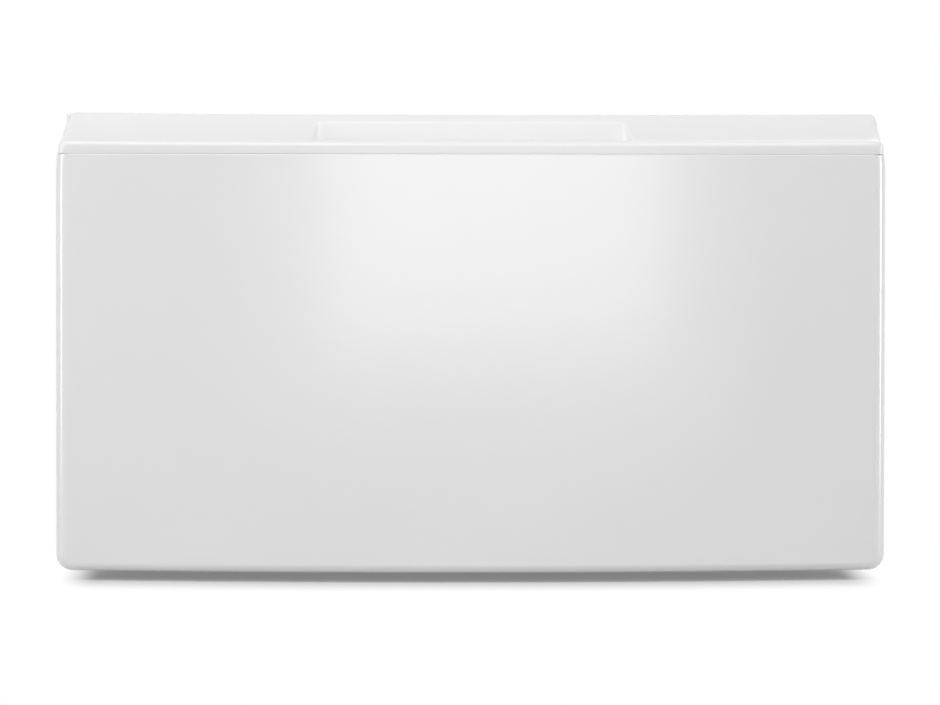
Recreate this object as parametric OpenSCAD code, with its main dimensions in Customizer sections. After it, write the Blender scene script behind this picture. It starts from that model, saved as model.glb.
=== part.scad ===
// Laundry pedestal with one deep drawer behind a bowed white front.
// Millimetres. The front faces -Y, +X is to the right of someone facing it, and +Z is up.
// The origin is on the floor, under the middle of the overall box.

/* [Overall] */
// Width of the drawer front
front_w = 686; // [640:1:720]
// Depth from the crown of the front to the screw heads on the back
ped_d = 648; // [620:1:700]
// Height from the floor to the top of the handle cap
ped_h = 386; // [380:1:402]
// Gap between the floor and the drawer front
floor_gap = 9; // [7:0.5:12]

/* [Drawer front] */
// How far the middle of the front stands proud of its ends
bow_rise = 30; // [20:1:40]
// Depth of the front at its ends, from the bow to its back plane
front_end_d = 60; // [59:1:66]
// Sheet thickness of the outer panel
front_t = 1; // [0.8:0.1:1.3]
// Roll radius of the panel's upright edges
edge_r = 9; // [6:0.5:11]
// Roll radius of the panel's bottom edge
bottom_r = 10; // [7:0.5:12]
// Radius of the panel's bottom corners, seen from the front
corner_r = 13.5; // [8:0.5:16]
// Roll radius where the panel turns in under the cap
panel_top_r = 2.5; // [2:0.1:3.5]
// Depth of the panel's flange under the cap
panel_top_flange = 6.5; // [5:0.5:7]
// Width of the panel's back hem
hem_w = 12; // [9:1:13]
// Sheet thickness of the inner panel
inner_t = 1; // [0.8:0.1:1.3]

/* [Handle cap] */
// Height of the cap, from the joint line to its top
cap_h = 34; // [31:1:38]
// Wall of the moulded cap
cap_t = 2.5; // [2:0.1:3]
// Gap between the cap's sides and the inner panel's edges
inner_in = 0.6; // [0.4:0.1:1]
// How much narrower the inner panel is inside the cap, at each end
inner_shoulder = 9; // [6:0.5:12]
// Radius of the inner panel's top corners
inner_corner_r = 10; // [6:0.5:14]
// Height of the inner panel's lower edge above the panel's
inner_low = 2; // [1.5:0.1:4]
// Gap in the joint between cap and panel
cap_gap = 0.5; // [0.3:0.1:0.8]
// How much the cap is set in from the panel's sides
cap_inset = 1.4; // [0.8:0.1:2]
// Radius of the lip's nose
nose_r = 5; // [4:0.5:7]
// Height of the nose's centre above the joint line
nose_h = 6; // [2.5:0.5:6.5]
// Upward angle of the hollow slope behind the nose
slope_a0 = 12; // [4:1:14]
// Upward angle of the hollow slope below the top roll
slope_a1 = 42; // [40:1:54]
// Radius of the roll at the top of the slope
top_roll_r = 8; // [4:0.5:9]
// Radius of the cap's top corners, seen from the front
cap_corner_r = 7.5; // [4:0.5:9]
// Width of the finger pocket at the lip
pocket_w = 267; // [220:1:320]
// Angle of the pocket's side walls, seen from above
pocket_draft = 13; // [6:1:20]
// Depth of the lip in front of the pocket
lip_d = 10; // [9.5:0.5:12]
// Depth of the pocket's back edge behind the front
pocket_back_d = 39.5; // [38:0.5:46]
// How much shorter the pocket's floor is than its mouth, front to back
pocket_rake = 4; // [2:0.5:8]
// How far the pocket reaches below the joint line
pocket_drop = 9; // [5:1:14]
// Outer diameter of the cap's screw bosses
cap_boss_d = 9; // [8:0.5:11]
// Length of the cap's screw bosses
cap_boss_l = 12; // [8:0.5:14]
// Height of the cap's screws above the joint line
cap_boss_h = 12; // [9:0.5:14]
// Distance of the outer bosses from the front's ends
cap_boss_in = 48; // [30:1:70]
// Distance between neighbouring bosses of one end
cap_boss_pitch = 115; // [80:1:150]

/* [Cabinet] */
// How far the drawer front overhangs the cabinet at each side
front_over = 6; // [3:0.5:7]
// Gap between the closed drawer front and the cabinet
front_clear = 4; // [3.5:0.5:6]
// How far the cap's top stands above the cabinet's top
cap_proud = 1; // [0.5:0.5:3]
// How far the cabinet's bottom edge is above the drawer front's
cab_lift = 11; // [9:0.5:13]
// Sheet thickness of the side and back panels
panel_t = 1; // [0.8:0.1:1.2]
// Width of the side panels' front flange
front_flange = 17; // [15:0.5:17.5]
// Width of the side panels' top, bottom and rear flanges
side_flange = 22; // [16:1:24]
// Bend radius of the side panels, at the middle of the sheet
side_bend = 4; // [2:0.5:5]
// Depth of the back panel's stiffening ribs
rib_d = 3; // [2:0.5:5]
// Pitch of the back panel's stiffening ribs
rib_pitch = 120; // [100:5:150]
// Gap between the ribs and the rear rails
rib_clear = 0.3; // [0.1:0.1:1]
// Width of each stiffening rib
rib_w = 30; // [20:1:40]
// Sheet thickness of the cross rails and slide supports
rail_t = 1.2; // [1:0.1:1.5]
// Bend radius of the rails and slide supports, at the middle of the sheet
rail_bend = 2; // [1:0.5:3]
// Depth of the top cross rails
top_rail_d = 70; // [64:1:90]
// Height of the top cross rails
top_rail_h = 24; // [18:1:26]
// Depth of the bottom front rail
front_rail_d = 104; // [102:1:112]
// Depth of the bottom rear rail
rear_rail_d = 70; // [60:1:90]
// Height of the bottom cross rails
bottom_rail_h = 12.2; // [12:0.1:14]

/* [Washer mount] */
// Distance of the washer bolt holes from the cabinet's sides
bolt_in_x = 37; // [34:1:46]
// Distance of the washer bolt holes from the cabinet's front and back
bolt_in_y = 40; // [36:1:46]
// Diameter of the washer bolt holes
bolt_hole_d = 11; // [9:0.5:13]
// Thickness of the mount plates
mount_plate_t = 3; // [2:0.5:4]
// Length of a mount plate across the cabinet
mount_plate_l = 80; // [70:1:100]

/* [Levelling feet] */
// Distance of the feet from the cabinet's sides
foot_in_x = 37; // [34:1:46]
// Distance of the front feet from the cabinet's front, far enough in to be hidden by the drawer front
foot_in_front = 75; // [60:1:78]
// Distance of the rear feet from the cabinet's back
foot_in_rear = 38; // [34:1:44]
// Diameter of the foot's stud
stud_d = 10; // [8:0.5:12]
// Height of the stud's end above the floor
stud_top = 58; // [50:1:60]
// Height of the rubber pad
pad_h = 9; // [7:0.5:9]
// Diameter of the rubber pad
pad_d = 40; // [32:1:46]
// Diameter of the steel disc on the pad
disc_d = 27; // [22:1:30]
// Thickness of the steel disc on the pad
disc_t = 2; // [1.5:0.5:2.5]
// Width across corners of the foot's hexagon and of the nuts
hex_d = 19.6; // [17:0.1:22]
// Height of the lock nuts
lock_nut_h = 7; // [5:0.5:7.5]
// Height of the weld nuts
weld_nut_h = 8; // [6:0.5:10]
// Thickness of the foot plates
foot_plate_t = 2.5; // [2:0.5:3]
// Side of a foot plate
foot_plate_l = 56; // [46:1:60]
// Radial clearance of the stud in its nuts
thread_clear = 0.05; // [0.02:0.01:0.08]
// Gap between the hexagon and the lock nut, foot fully in
hex_gap = 0.5; // [0.3:0.1:1]
// Radial clearance of holes that a stud or screw only passes
pass_clear = 0.5; // [0.3:0.1:0.7]

/* [Slides] */
// Travel of the drawer
travel = 430; // [380:5:440]
// Height of the slides' middle line above the floor
slide_z = 120; // [110:1:200]
// Distance from the cabinet's outside to the back of a slide
slide_in = 19; // [18.5:0.5:23]
// Distance of a slide's front end behind the cabinet's front
slide_setback = 6; // [5:0.5:12]
// Distance of the middle member's front end behind the outer member's
middle_setback = 2; // [1:0.5:4]
// Bend radius of the slide members, at the middle of the sheet
member_bend = 1.4; // [1:0.1:1.6]
// Height of the outer member's inward lips
outer_lip = 2.6; // [2:0.1:3]
// Distance of a slide's outer screws from its ends
slide_screw_end = 30; // [20:1:40]
// Thickness of a closed slide
slide_t = 12.7; // [12.5:0.1:14]
// Height of the slide's outer member
slide_h = 45.6; // [44:0.1:50]
// Sheet thickness of the slide members
member_t = 1.2; // [1:0.1:1.4]
// Length of the slides' outer member
outer_l = 500; // [470:5:520]
// Length of the slides' middle member
middle_l = 470; // [460:5:480]
// Length of the slides' inner member
inner_l = 485; // [460:5:490]
// Diameter of the balls
ball_d = 3.5; // [3:0.1:3.8]
// Clearance between a ball retainer's web and the members beside it
web_clear = 0.3; // [0.2:0.05:0.35]
// Clearance between a ball and each race
ball_clear = 0.3; // [0.2:0.05:0.4]
// Length of the ball retainers
cage_l = 250; // [200:5:260]
// Sheet thickness of the ball retainers
cage_t = 0.4; // [0.3:0.05:0.5]
// Radial clearance of a ball in its retainer
ball_hole = 0.1; // [0.05:0.05:0.2]
// Bend radius of the ball retainers, at the middle of the sheet
cage_bend = 0.5; // [0.3:0.05:0.8]
// Balls in each row
balls = 8; // [4:1:12]
// Length of the release lever
lever_l = 56; // [40:1:64]
// Height of the release lever
lever_h = 8; // [7:0.5:9]
// Thickness of the release lever
lever_t = 2.4; // [1.8:0.1:3]
// Diameter of the release lever's pin
lever_pin_d = 4; // [3:0.5:4.5]
// Width of the slide supports
support_h = 64; // [56:1:76]
// Width of the slide supports' weld flanges
support_tab = 15; // [10:1:20]

/* [Drawer box] */
// Height of the drawer box's lower edge above the floor
box_z = 66; // [63:1:70]
// Gap between the drawer box's top and the top rails
box_under = 24; // [12:1:40]
// Depth of the drawer box behind the drawer front
box_d = 480; // [440:5:490]
// Sheet thickness of the drawer box
box_t = 1; // [0.8:0.1:1.2]
// Bend radius of the drawer box, at the middle of the sheet
box_bend = 1.2; // [0.9:0.1:2]
// Width of the drawer box's inner flanges
box_flange = 15; // [12:1:18]
// Width and height of the rolled hem along the box's top
top_hem = 8; // [6:0.5:9]
// Height of the stiffening beads in the drawer's bottom
bead_h = 2; // [1:0.5:3]
// Distance between neighbouring divider guides
guide_pitch = 110; // [90:1:130]
// Height of the divider guides
guide_h = 186; // [150:1:200]
// Wall of the divider guides
guide_t = 1.5; // [1.2:0.1:2]
// Depth of the slot in a divider guide
guide_slot = 8; // [6:0.5:12]
// Thickness of the divider's sheet
divider_t = 1.2; // [1:0.1:1.6]
// Height of the divider above the drawer's bottom
divider_h = 202; // [190:1:220]
// Clearance of the divider in its guides
divider_clear = 0.4; // [0.3:0.05:0.6]

/* [Screws and bumpers] */
// Shank diameter of the screws
screw_d = 4; // [3:0.5:4.5]
// Head diameter of the screws
head_d = 8; // [7:0.5:9]
// Head height of the screws
head_h = 1.8; // [1.5:0.1:2.2]
// Radial clearance of a screw in its hole
screw_clear = 0.15; // [0.1:0.05:0.3]
// Distance of the front screws from the drawer box's lower and upper edges
front_screw_end = 40; // [25:1:60]
// Distance of the drawer's rivets from its lower and upper edges
rivet_end = 30; // [20:1:50]
// Distance of the back panel's screws from the cabinet's lower and upper edges
back_screw_end = 50; // [30:1:70]
// Distance of the bumpers from the cabinet's sides
bumper_in = 11.5; // [10.5:0.1:13.5]
// Height of the lower bumpers above the front's lower edge
bumper_low = 45; // [30:1:70]
// Distance of the upper bumpers below the joint line
bumper_high = 25; // [18:1:50]
// Diameter of the closing bumpers
bumper_d = 10; // [8:0.5:12]
// Gap between a bumper and the cabinet, drawer closed
bumper_gap = 0.5; // [0.3:0.1:1]

/* [Hidden] */

$fn = 48;
eps = 0.01;
bow_fn = 256;
bend_steps = 4;
roll_steps = 7;
white = "white";
steel = "gainsboro";
zinc = "silver";
dark = "dimgray";

crown_y = -ped_d / 2;
back_y = ped_d / 2 - head_h;
half_w = front_w / 2;
bow_r = (half_w * half_w + bow_rise * bow_rise) / (2 * bow_rise);
bow_y = crown_y + bow_r;
bow_span = asin(half_w / bow_r) + 1;
front_y = crown_y + bow_rise + front_end_d;
seam_z = ped_h - cap_h;
deep = bow_rise + front_end_d + 20;
inner_y = front_y - inner_t;
cut = 5;

cab_half = front_w / 2 - front_over;
cab_y = front_y + front_clear;
cab_z = floor_gap + cab_lift;
cab_top = ped_h - cap_proud;
side_y = back_y - panel_t;
in_half = cab_half - panel_t;
top_rail_z = cab_top - panel_t - top_rail_h;
bottom_rail_z = cab_z + panel_t;
bottom_web_z = bottom_rail_z + bottom_rail_h;
rail_front_y = cab_y + panel_t + side_bend;
rail_rear_y = side_y - max(panel_t + side_bend, rib_d + rib_clear);

bolt_x = cab_half - bolt_in_x;
bolt_front_y = cab_y + bolt_in_y;
bolt_rear_y = back_y - bolt_in_y;
foot_x = cab_half - foot_in_x;
foot_front_y = cab_y + foot_in_front;
foot_rear_y = back_y - foot_in_rear;
foot_plate_z = bottom_web_z - rail_t - foot_plate_t;
lock_nut_z = foot_plate_z - lock_nut_h;
hex_top = lock_nut_z - hex_gap;

slide_x = cab_half - slide_in;
box_half = slide_x - slide_t;
slide_y = cab_y + slide_setback;
middle_y = slide_y + middle_setback;
member_y = slide_y;
race_gap = ball_d + 2 * ball_clear;
middle_top = slide_h / 2 - member_t - race_gap;
inner_top = middle_top - member_t - race_gap;
ball_u = slide_t / 2 + 0.8;
outer_cage_y = (slide_y + middle_y + middle_l - cage_l) / 2;
inner_cage_y = (middle_y + member_y + inner_l - cage_l) / 2;
lever_y = member_y + travel / 2;
lever_u = slide_t - member_t - ball_clear - lever_t;

box_top = top_rail_z - box_under;
box_h = box_top - box_z;
box_back_y = front_y + box_d;
floor_z = box_z + 2 * box_t;
divider_z = floor_z + divider_clear;
divider_y = front_y + box_d / 2;
bumper_x = cab_half - bumper_in;

// Directions and turned vectors
function dir(a, b) = (b - a) / norm(b - a);
function turned(v, a) = [v[0] * cos(a) - v[1] * sin(a), v[0] * sin(a) + v[1] * cos(a)];
function reversed(p) = [for (i = [len(p) - 1 : -1 : 0]) p[i]];
function on_arc(c, r, a) = c + r * [cos(a), sin(a)];
function arc(c, r, a0, a1, n) = [for (k = [0 : n]) on_arc(c, r, a0 + (a1 - a0) * k / n)];

// One side of a bent sheet: p is its middle line, r the bend radius there, s is 1 for the left side and -1 for the right
function sheet_side(p, t, r, s) = [
    for (i = [0 : len(p) - 1])
        let (
            d1 = dir(p[max(i, 1) - 1], p[max(i, 1)]),
            d2 = dir(p[min(i, len(p) - 2)], p[min(i, len(p) - 2) + 1]),
            turn = atan2(cross(d1, d2), d1 * d2),
            n1 = [-d1[1], d1[0]]
        )
        each abs(turn) < 1
            ? [p[i] + n1 * s * t / 2]
            : let (g = sign(turn), c = p[i] - d1 * r * tan(abs(turn) / 2) + n1 * g * r)
              [for (k = [0 : bend_steps]) c - g * (r - g * s * t / 2) * turned(n1, turn * k / bend_steps)]
];
function sheet(p, t, r) = concat(sheet_side(p, t, r, 1), reversed(sheet_side(p, t, r, -1)));

// An arc whose ends stand a little proud, so that it crosses the faces it blends and never just touches them
proud = 0.12;
function proud_arc(c, r, a0, a1, start = proud) = let (n = roll_steps)
    [for (k = [0 : n]) on_arc(c, r + (k == 0 ? start : k == n ? proud : 0), a0 + (a1 - a0) * k / n)];

module along_x(x0, x1) translate([x0, 0, 0]) rotate([90, 0, 90]) linear_extrude(x1 - x0) children();
module along_y(y0, y1) translate([0, y1, 0]) rotate([90, 0, 0]) linear_extrude(y1 - y0) children();
module along_z(z0, z1) translate([0, 0, z0]) linear_extrude(z1 - z0) children();
module box(a, b) translate(a) cube(b - a);
module at(points) for (p = points) translate(p) children();
module mirrored() mirror([1, 0, 0]) children();

// Solid of revolution about the bow's axis, from points of [depth behind the bow, height]
module bowed(p)
    translate([0, bow_y, 0])
        rotate_extrude(angle = 2 * bow_span, start = -90 - bow_span, $fn = bow_fn)
            polygon([for (q = p) [bow_r - q[0], q[1]]]);

// Plan outline of the front: straight sides, rolled into the bow, i is its inset from the outside
module front_plan(half, r, i, y1) {
    c = [half - r, bow_y - sqrt(pow(bow_r - r, 2) - pow(half - r, 2))];
    a = atan2(c[1] - bow_y, c[0]);
    right = concat([[half - i, y1]], proud_arc(c, r - i, 0, a, 0), [[half - 2 * r, crown_y - cut]]);
    polygon(concat(right, [for (p = reversed(right)) [-p[0], p[1]]]));
}

// Height profile of the panel, with its bottom and top rolls
function panel_profile(i) = concat(
    arc([bottom_r, floor_gap + bottom_r], bottom_r - i, 180, 270, roll_steps),
    [[deep, floor_gap + i], [deep, seam_z - i]],
    arc([panel_top_r, seam_z - panel_top_r], panel_top_r - i, 90, 180, 4)
);

module panel_body(i, y1) intersection() {
    bowed(panel_profile(i));
    along_z(0, ped_h) front_plan(half_w, edge_r, i, y1);
    along_y(crown_y - cut, back_y) {
        low = floor_gap + corner_r;
        corner = proud_arc([half_w - corner_r, low], corner_r - i, 0, -90);
        right = concat([[half_w + cut, ped_h], [half_w + cut, low]], corner, [[0, floor_gap - cut]]);
        polygon(concat(right, [for (p = reversed(right)) [-p[0], p[1]]]));
    }
}

module front_panel() color(white) difference() {
    panel_body(0, inner_y);
    panel_body(front_t, inner_y - front_t);
    // opening inside the back hem
    box([hem_w - half_w, inner_y - 2 * front_t, floor_gap + hem_w], [half_w - hem_w, front_y, ped_h]);
    // opening behind the top flange
    intersection() {
        bowed([[panel_top_flange, seam_z - 2 * front_t], [deep, seam_z - 2 * front_t],
               [deep, ped_h], [panel_top_flange, ped_h]]);
        box([front_t - half_w, crown_y, seam_z - 2 * front_t], [half_w - front_t, front_y, ped_h]);
    }
}

// Height profile of the cap: nose, hollow slope, top roll and ledge
nose_c = [cap_inset / 4 + nose_r, seam_z + nose_h];
slope_s = on_arc(nose_c, nose_r, 90 + slope_a0);
slope_top = ped_h - top_roll_r * (1 - cos(slope_a1));
slope_r = (slope_top - slope_s[1]) / (cos(slope_a0) - cos(slope_a1));
slope_c = slope_s + slope_r * [-sin(slope_a0), cos(slope_a0)];
roll_c = slope_c + (slope_r + top_roll_r) * [sin(slope_a1), -cos(slope_a1)];
function cap_profile(i, z0) = concat(
    [[deep, z0], [nose_c[0] - nose_r + i, z0]],
    arc(nose_c, nose_r - i, 180, 90 + slope_a0, roll_steps),
    [for (k = [1 : 8]) on_arc(slope_c, slope_r + i, slope_a0 - 90 + (slope_a1 - slope_a0) * k / 8)],
    [for (k = [1 : 4]) on_arc(roll_c, top_roll_r - i, 90 + slope_a1 * (1 - k / 4))],
    [[deep, ped_h - i]]
);

module cap_body(i, z0, y1) {
    half = half_w - cap_inset;
    intersection() {
        bowed(cap_profile(i, z0));
        along_z(0, ped_h + cut) front_plan(half, edge_r, i, y1);
        along_y(crown_y - cut, back_y) {
            corner = proud_arc([half - cap_corner_r, ped_h - cap_corner_r], cap_corner_r - i, 0, 90);
            right = concat([[half + cut, 0], [half + cut, ped_h - cap_corner_r]], corner, [[0, ped_h + cut]]);
            polygon(concat(right, [for (p = reversed(right)) [-p[0], p[1]]]));
        }
    }
}

// Finger pocket grown by g: open upwards, its sides splayed towards the lip
module pocket(g) {
    floor_d = pocket_back_d - pocket_rake;
    z0 = seam_z - pocket_drop - g;
    lip_y = crown_y + lip_d;
    half = pocket_w / 2 + g;
    reach = 60;
    intersection() {
        bowed([[lip_d - g, z0], [floor_d + g, z0], [pocket_back_d + g, slope_top - 5], [pocket_back_d + g, ped_h + cut],
               [lip_d - g, ped_h + cut]]);
        along_z(z0 - cut, ped_h + cut) {
            near = half + cut * tan(pocket_draft);
            far = half - reach * tan(pocket_draft);
            polygon([[-near, lip_y - cut], [near, lip_y - cut], [far, lip_y + reach], [-far, lip_y + reach]]);
        }
    }
}

cap_boss_x = [for (s = [-1, 1], i = [0, 1]) s * (half_w - cap_boss_in - i * cap_boss_pitch)];
cap_boss_z = seam_z + cap_boss_h;
cap_wall_y = inner_y - cap_t;
module handle_cap() color(white) difference() {
    union() {
        difference() {
            cap_body(0, seam_z + cap_gap, front_y);
            cap_body(cap_t, seam_z - cut, cap_wall_y);
            box([-half_w, inner_y, seam_z], [half_w, front_y + cut, ped_h - cap_t]);
        }
        intersection() {
            pocket(cap_t);
            cap_body(cap_t / 2, seam_z - pocket_drop - 2 * cap_t, inner_y);
        }
        for (x = cap_boss_x) translate([x, cap_wall_y + eps, cap_boss_z]) rotate([90, 0, 0])
            cylinder(d = cap_boss_d, h = cap_boss_l);
    }
    pocket(0);
    for (x = cap_boss_x) translate([x, inner_y + cut, cap_boss_z]) rotate([90, 0, 0])
        cylinder(d = screw_d + 2 * screw_clear, h = cap_boss_l + cut);
}

// Sheet behind the front: it closes the panel and is the drawer's front wall
inner_panel_top = ped_h - cap_t - cap_gap;
front_screw_z = [box_z + front_screw_end, box_z + box_h / 2, box_top - front_screw_end];
front_screw_x = box_half - box_t - box_flange / 2;
bumper_z = [floor_gap + bumper_low, seam_z - bumper_high];
module inner_panel() color(white) difference() {
    half = half_w - cap_inset - inner_in;
    high = half - inner_shoulder;
    along_y(inner_y, front_y) {
        corner = proud_arc([high - inner_corner_r, inner_panel_top - inner_corner_r], inner_corner_r, 0, 90);
        right = concat([[half, floor_gap + inner_low], [half, seam_z], [high, seam_z]], corner);
        polygon(concat(right, [for (p = reversed(right)) [-p[0], p[1]]]));
    }
    for (x = cap_boss_x) cross_hole([x, front_y, cap_boss_z], screw_d);
    for (s = [-1, 1], z = front_screw_z) cross_hole([s * front_screw_x, front_y, z], screw_d);
    for (s = [-1, 1], z = bumper_z) cross_hole([s * bumper_x, front_y, z], bumper_d / 2);
}

// Hole along Y through the sheets round p, for a shank of diameter d
module cross_hole(p, d) translate(p + [0, 10, 0]) rotate([90, 0, 0]) cylinder(d = d + 2 * screw_clear, h = 20);
// Screw along Y: the head's seat is at p, the shank points to the front
module screw(p, l) translate(p) {
    rotate([90, 0, 0]) cylinder(d = screw_d, h = l);
    rotate([-90, 0, 0]) difference() {
        cylinder(d1 = head_d, d2 = head_d * 0.7, h = head_h);
        for (a = [0, 90]) rotate(a) translate([-head_d / 4, -0.4, head_h / 2]) cube([head_d / 2, 0.8, head_h]);
    }
}

module cap_screws() color(zinc) for (x = cap_boss_x) screw([x, front_y, cap_boss_z], inner_t + cap_boss_l - cap_t);
module front_screws() color(zinc)
    for (s = [-1, 1], z = front_screw_z) screw([s * front_screw_x, front_y + box_t, z], box_t + inner_t + 1);
module bumpers() color(dark) for (s = [-1, 1], z = bumper_z) translate([s * bumper_x, front_y, z]) {
    rotate([-90, 0, 0]) cylinder(d1 = bumper_d, d2 = bumper_d * 0.8, h = front_clear - bumper_gap);
    rotate([90, 0, 0]) cylinder(d = bumper_d / 2, h = inner_t + 1);
}

// Cabinet
module side_panel() color(white) difference() {
    h = panel_t / 2;
    union() {
        along_z(cab_z, cab_top) polygon(sheet([
            [cab_half - front_flange, cab_y + h], [cab_half - h, cab_y + h],
            [cab_half - h, side_y - h], [cab_half - side_flange, side_y - h]
        ], panel_t, side_bend));
        for (z = [cab_z, cab_top - panel_t])
            box([cab_half - side_flange, cab_y + side_bend + h, z],
                [cab_half - h, side_y - side_bend - h, z + panel_t]);
    }
    for (z = back_screw_z) cross_hole([back_screw_x, side_y, z], screw_d);
}

back_screw_x = cab_half - side_flange / 2 - panel_t;
back_screw_z = [cab_z + back_screw_end, (cab_z + cab_top) / 2, cab_top - back_screw_end];
module back_panel() color(white) difference() {
    y = back_y - panel_t / 2;
    ribs = floor((2 * (cab_half - side_flange) - 2 * rib_w) / rib_pitch);
    line = concat(
        [[-cab_half + 0.5, y]],
        [for (i = [0 : ribs]) let (x = (i - ribs / 2) * rib_pitch) each [
            [x - rib_w / 2, y], [x - rib_w / 2 + rib_d, y - rib_d],
            [x + rib_w / 2 - rib_d, y - rib_d], [x + rib_w / 2, y]
        ]],
        [[cab_half - 0.5, y]]
    );
    along_z(cab_z + 1, cab_top - 1) polygon(sheet(line, panel_t, rib_d * 0.8));
    for (s = [-1, 1], z = back_screw_z) cross_hole([s * back_screw_x, back_y, z], screw_d);
}
module back_screws() color(zinc)
    for (s = [-1, 1], z = back_screw_z) screw([s * back_screw_x, back_y, z], 2 * panel_t + 4);

// Cross rail: a channel that opens downwards, from y0 to y1, with its web at the top
module rail(y0, y1, z0, z1) {
    h = rail_t / 2;
    along_x(-in_half, in_half) polygon(sheet(
        [[y0 + h, z0], [y0 + h, z1 - h], [y1 - h, z1 - h], [y1 - h, z0]], rail_t, rail_bend));
}
top_web_z = cab_top - panel_t;
module top_rail(y0, bolt_y) color(steel) difference() {
    rail(y0, y0 + top_rail_d, top_rail_z, top_web_z);
    for (s = [-1, 1]) translate([s * bolt_x, bolt_y, top_rail_z]) cylinder(d = bolt_hole_d, h = top_rail_h + cut);
}
module top_front_rail() top_rail(rail_front_y, bolt_front_y);
module top_rear_rail() top_rail(rail_rear_y - top_rail_d, bolt_rear_y);

stud_hole_d = stud_d + 2 * pass_clear;
module bottom_rail(y0, y1, foot_y) color(steel) difference() {
    rail(y0, y1, bottom_rail_z, bottom_web_z);
    for (s = [-1, 1]) translate([s * foot_x, foot_y, bottom_rail_z]) cylinder(d = stud_hole_d, h = bottom_rail_h + cut);
}
module bottom_front_rail() bottom_rail(rail_front_y, rail_front_y + front_rail_d, foot_front_y);
module bottom_rear_rail() bottom_rail(rail_rear_y - rear_rail_d, rail_rear_y, foot_rear_y);

// Mount plate under the top rail's web, at the rail's end
module mount_plate(s, y0, bolt_y) color(steel) difference() {
    z1 = top_web_z - rail_t;
    x0 = in_half - 1 - mount_plate_l;
    d0 = y0 + rail_t + 0.5;
    d1 = y0 + top_rail_d - rail_t - 0.5;
    mirror([s < 0 ? 1 : 0, 0, 0]) along_z(z1 - mount_plate_t, z1)
        polygon([[x0 + 8, d0 + 2], [x0 + mount_plate_l, d0 + 2], [x0 + mount_plate_l, d1 - 2], [x0 + 8, d1 - 2],
                 [x0, d1 - 10], [x0, d0 + 10]]);
    translate([s * bolt_x, bolt_y, top_rail_z]) cylinder(d = bolt_hole_d, h = top_rail_h);
}
module mount_plate_front(s) mount_plate(s, rail_front_y, bolt_front_y);
module mount_plate_rear(s) mount_plate(s, rail_rear_y - top_rail_d, bolt_rear_y);

// Feet
module foot_plate(s, y) color(steel) translate([s * foot_x, y, foot_plate_z]) difference() {
    l = foot_plate_l / 2;
    linear_extrude(foot_plate_t) polygon([
        [-l, 6 - l], [6 - l, -l], [l - 6, -l], [l, 6 - l], [l, l - 6], [l - 6, l], [6 - l, l], [-l, l - 6]
    ]);
    translate([0, 0, -cut]) cylinder(d = stud_hole_d, h = foot_plate_t + 2 * cut);
}
feet = [[-foot_x, foot_front_y, 0], [foot_x, foot_front_y, 0], [-foot_x, foot_rear_y, 0], [foot_x, foot_rear_y, 0]];
module nut(z, h) translate([0, 0, z]) difference() {
    intersection() {
        cylinder(d = hex_d, h = h, $fn = 6);
        cylinder(d1 = hex_d - 2.5, d2 = hex_d - 2.5 + 4 * h, h = h);
        cylinder(d1 = hex_d - 2.5 + 4 * h, d2 = hex_d - 2.5, h = h);
    }
    translate([0, 0, -cut]) cylinder(d = stud_d + 2 * thread_clear, h = h + 2 * cut);
}
module weld_nuts() color(zinc) at(feet) nut(bottom_web_z, weld_nut_h);
module lock_nuts() color(zinc) at(feet) nut(lock_nut_z, lock_nut_h);
module foot_stud() color(zinc) {
    translate([0, 0, pad_h]) cylinder(d = disc_d, h = disc_t);
    translate([0, 0, pad_h + disc_t - eps]) cylinder(d = hex_d, h = hex_top - pad_h - disc_t + eps, $fn = 6);
    translate([0, 0, hex_top - eps]) cylinder(d = stud_d, h = stud_top - 1 - hex_top + eps);
    translate([0, 0, stud_top - 1 - eps]) cylinder(d1 = stud_d, d2 = stud_d - 2, h = 1 + eps);
}
module foot_pad() color(dark) rotate_extrude() polygon([
    [0, 0], [pad_d / 2 - 2, 0], [pad_d / 2, 1.5], [pad_d / 2, pad_h / 2], [disc_d / 2 + 2, pad_h - 0.5],
    [disc_d / 2 + 1.5, pad_h], [0, pad_h]
]);

// Slide supports: a hat channel on the side panel, behind the slide
module slide_support() color(steel) difference() {
    h = rail_t / 2;
    a = in_half - h;
    b = slide_x + h;
    v = support_h / 2;
    along_y(rail_front_y + 1, rail_rear_y - 1) translate([0, slide_z]) polygon(sheet([
        [a, v + support_tab], [a, v], [b, v], [b, -v], [a, -v], [a, -v - support_tab]
    ], rail_t, rail_bend));
    for (y = outer_screw_y) side_hole([slide_x, y, slide_z], screw_d);
}
outer_screw_y = [slide_y + slide_screw_end, slide_y + outer_l / 2, slide_y + outer_l - slide_screw_end];
member_screw_y = [member_y + slide_screw_end, lever_y + lever_l + 30, member_y + inner_l - slide_screw_end];

// Hole along X through the sheets round p
module side_hole(p, d) translate(p - [10, 0, 0]) rotate([0, 90, 0]) cylinder(d = d + 2 * screw_clear, h = 20);
// Screw along X: the head's seat is at p, g is 1 where the shank points to +X and -1 where it points to -X
module side_screw(p, l, g) translate(p) mirror([g < 0 ? 1 : 0, 0, 0]) rotate([0, 0, 90]) screw([0, 0, 0], l);

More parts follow.
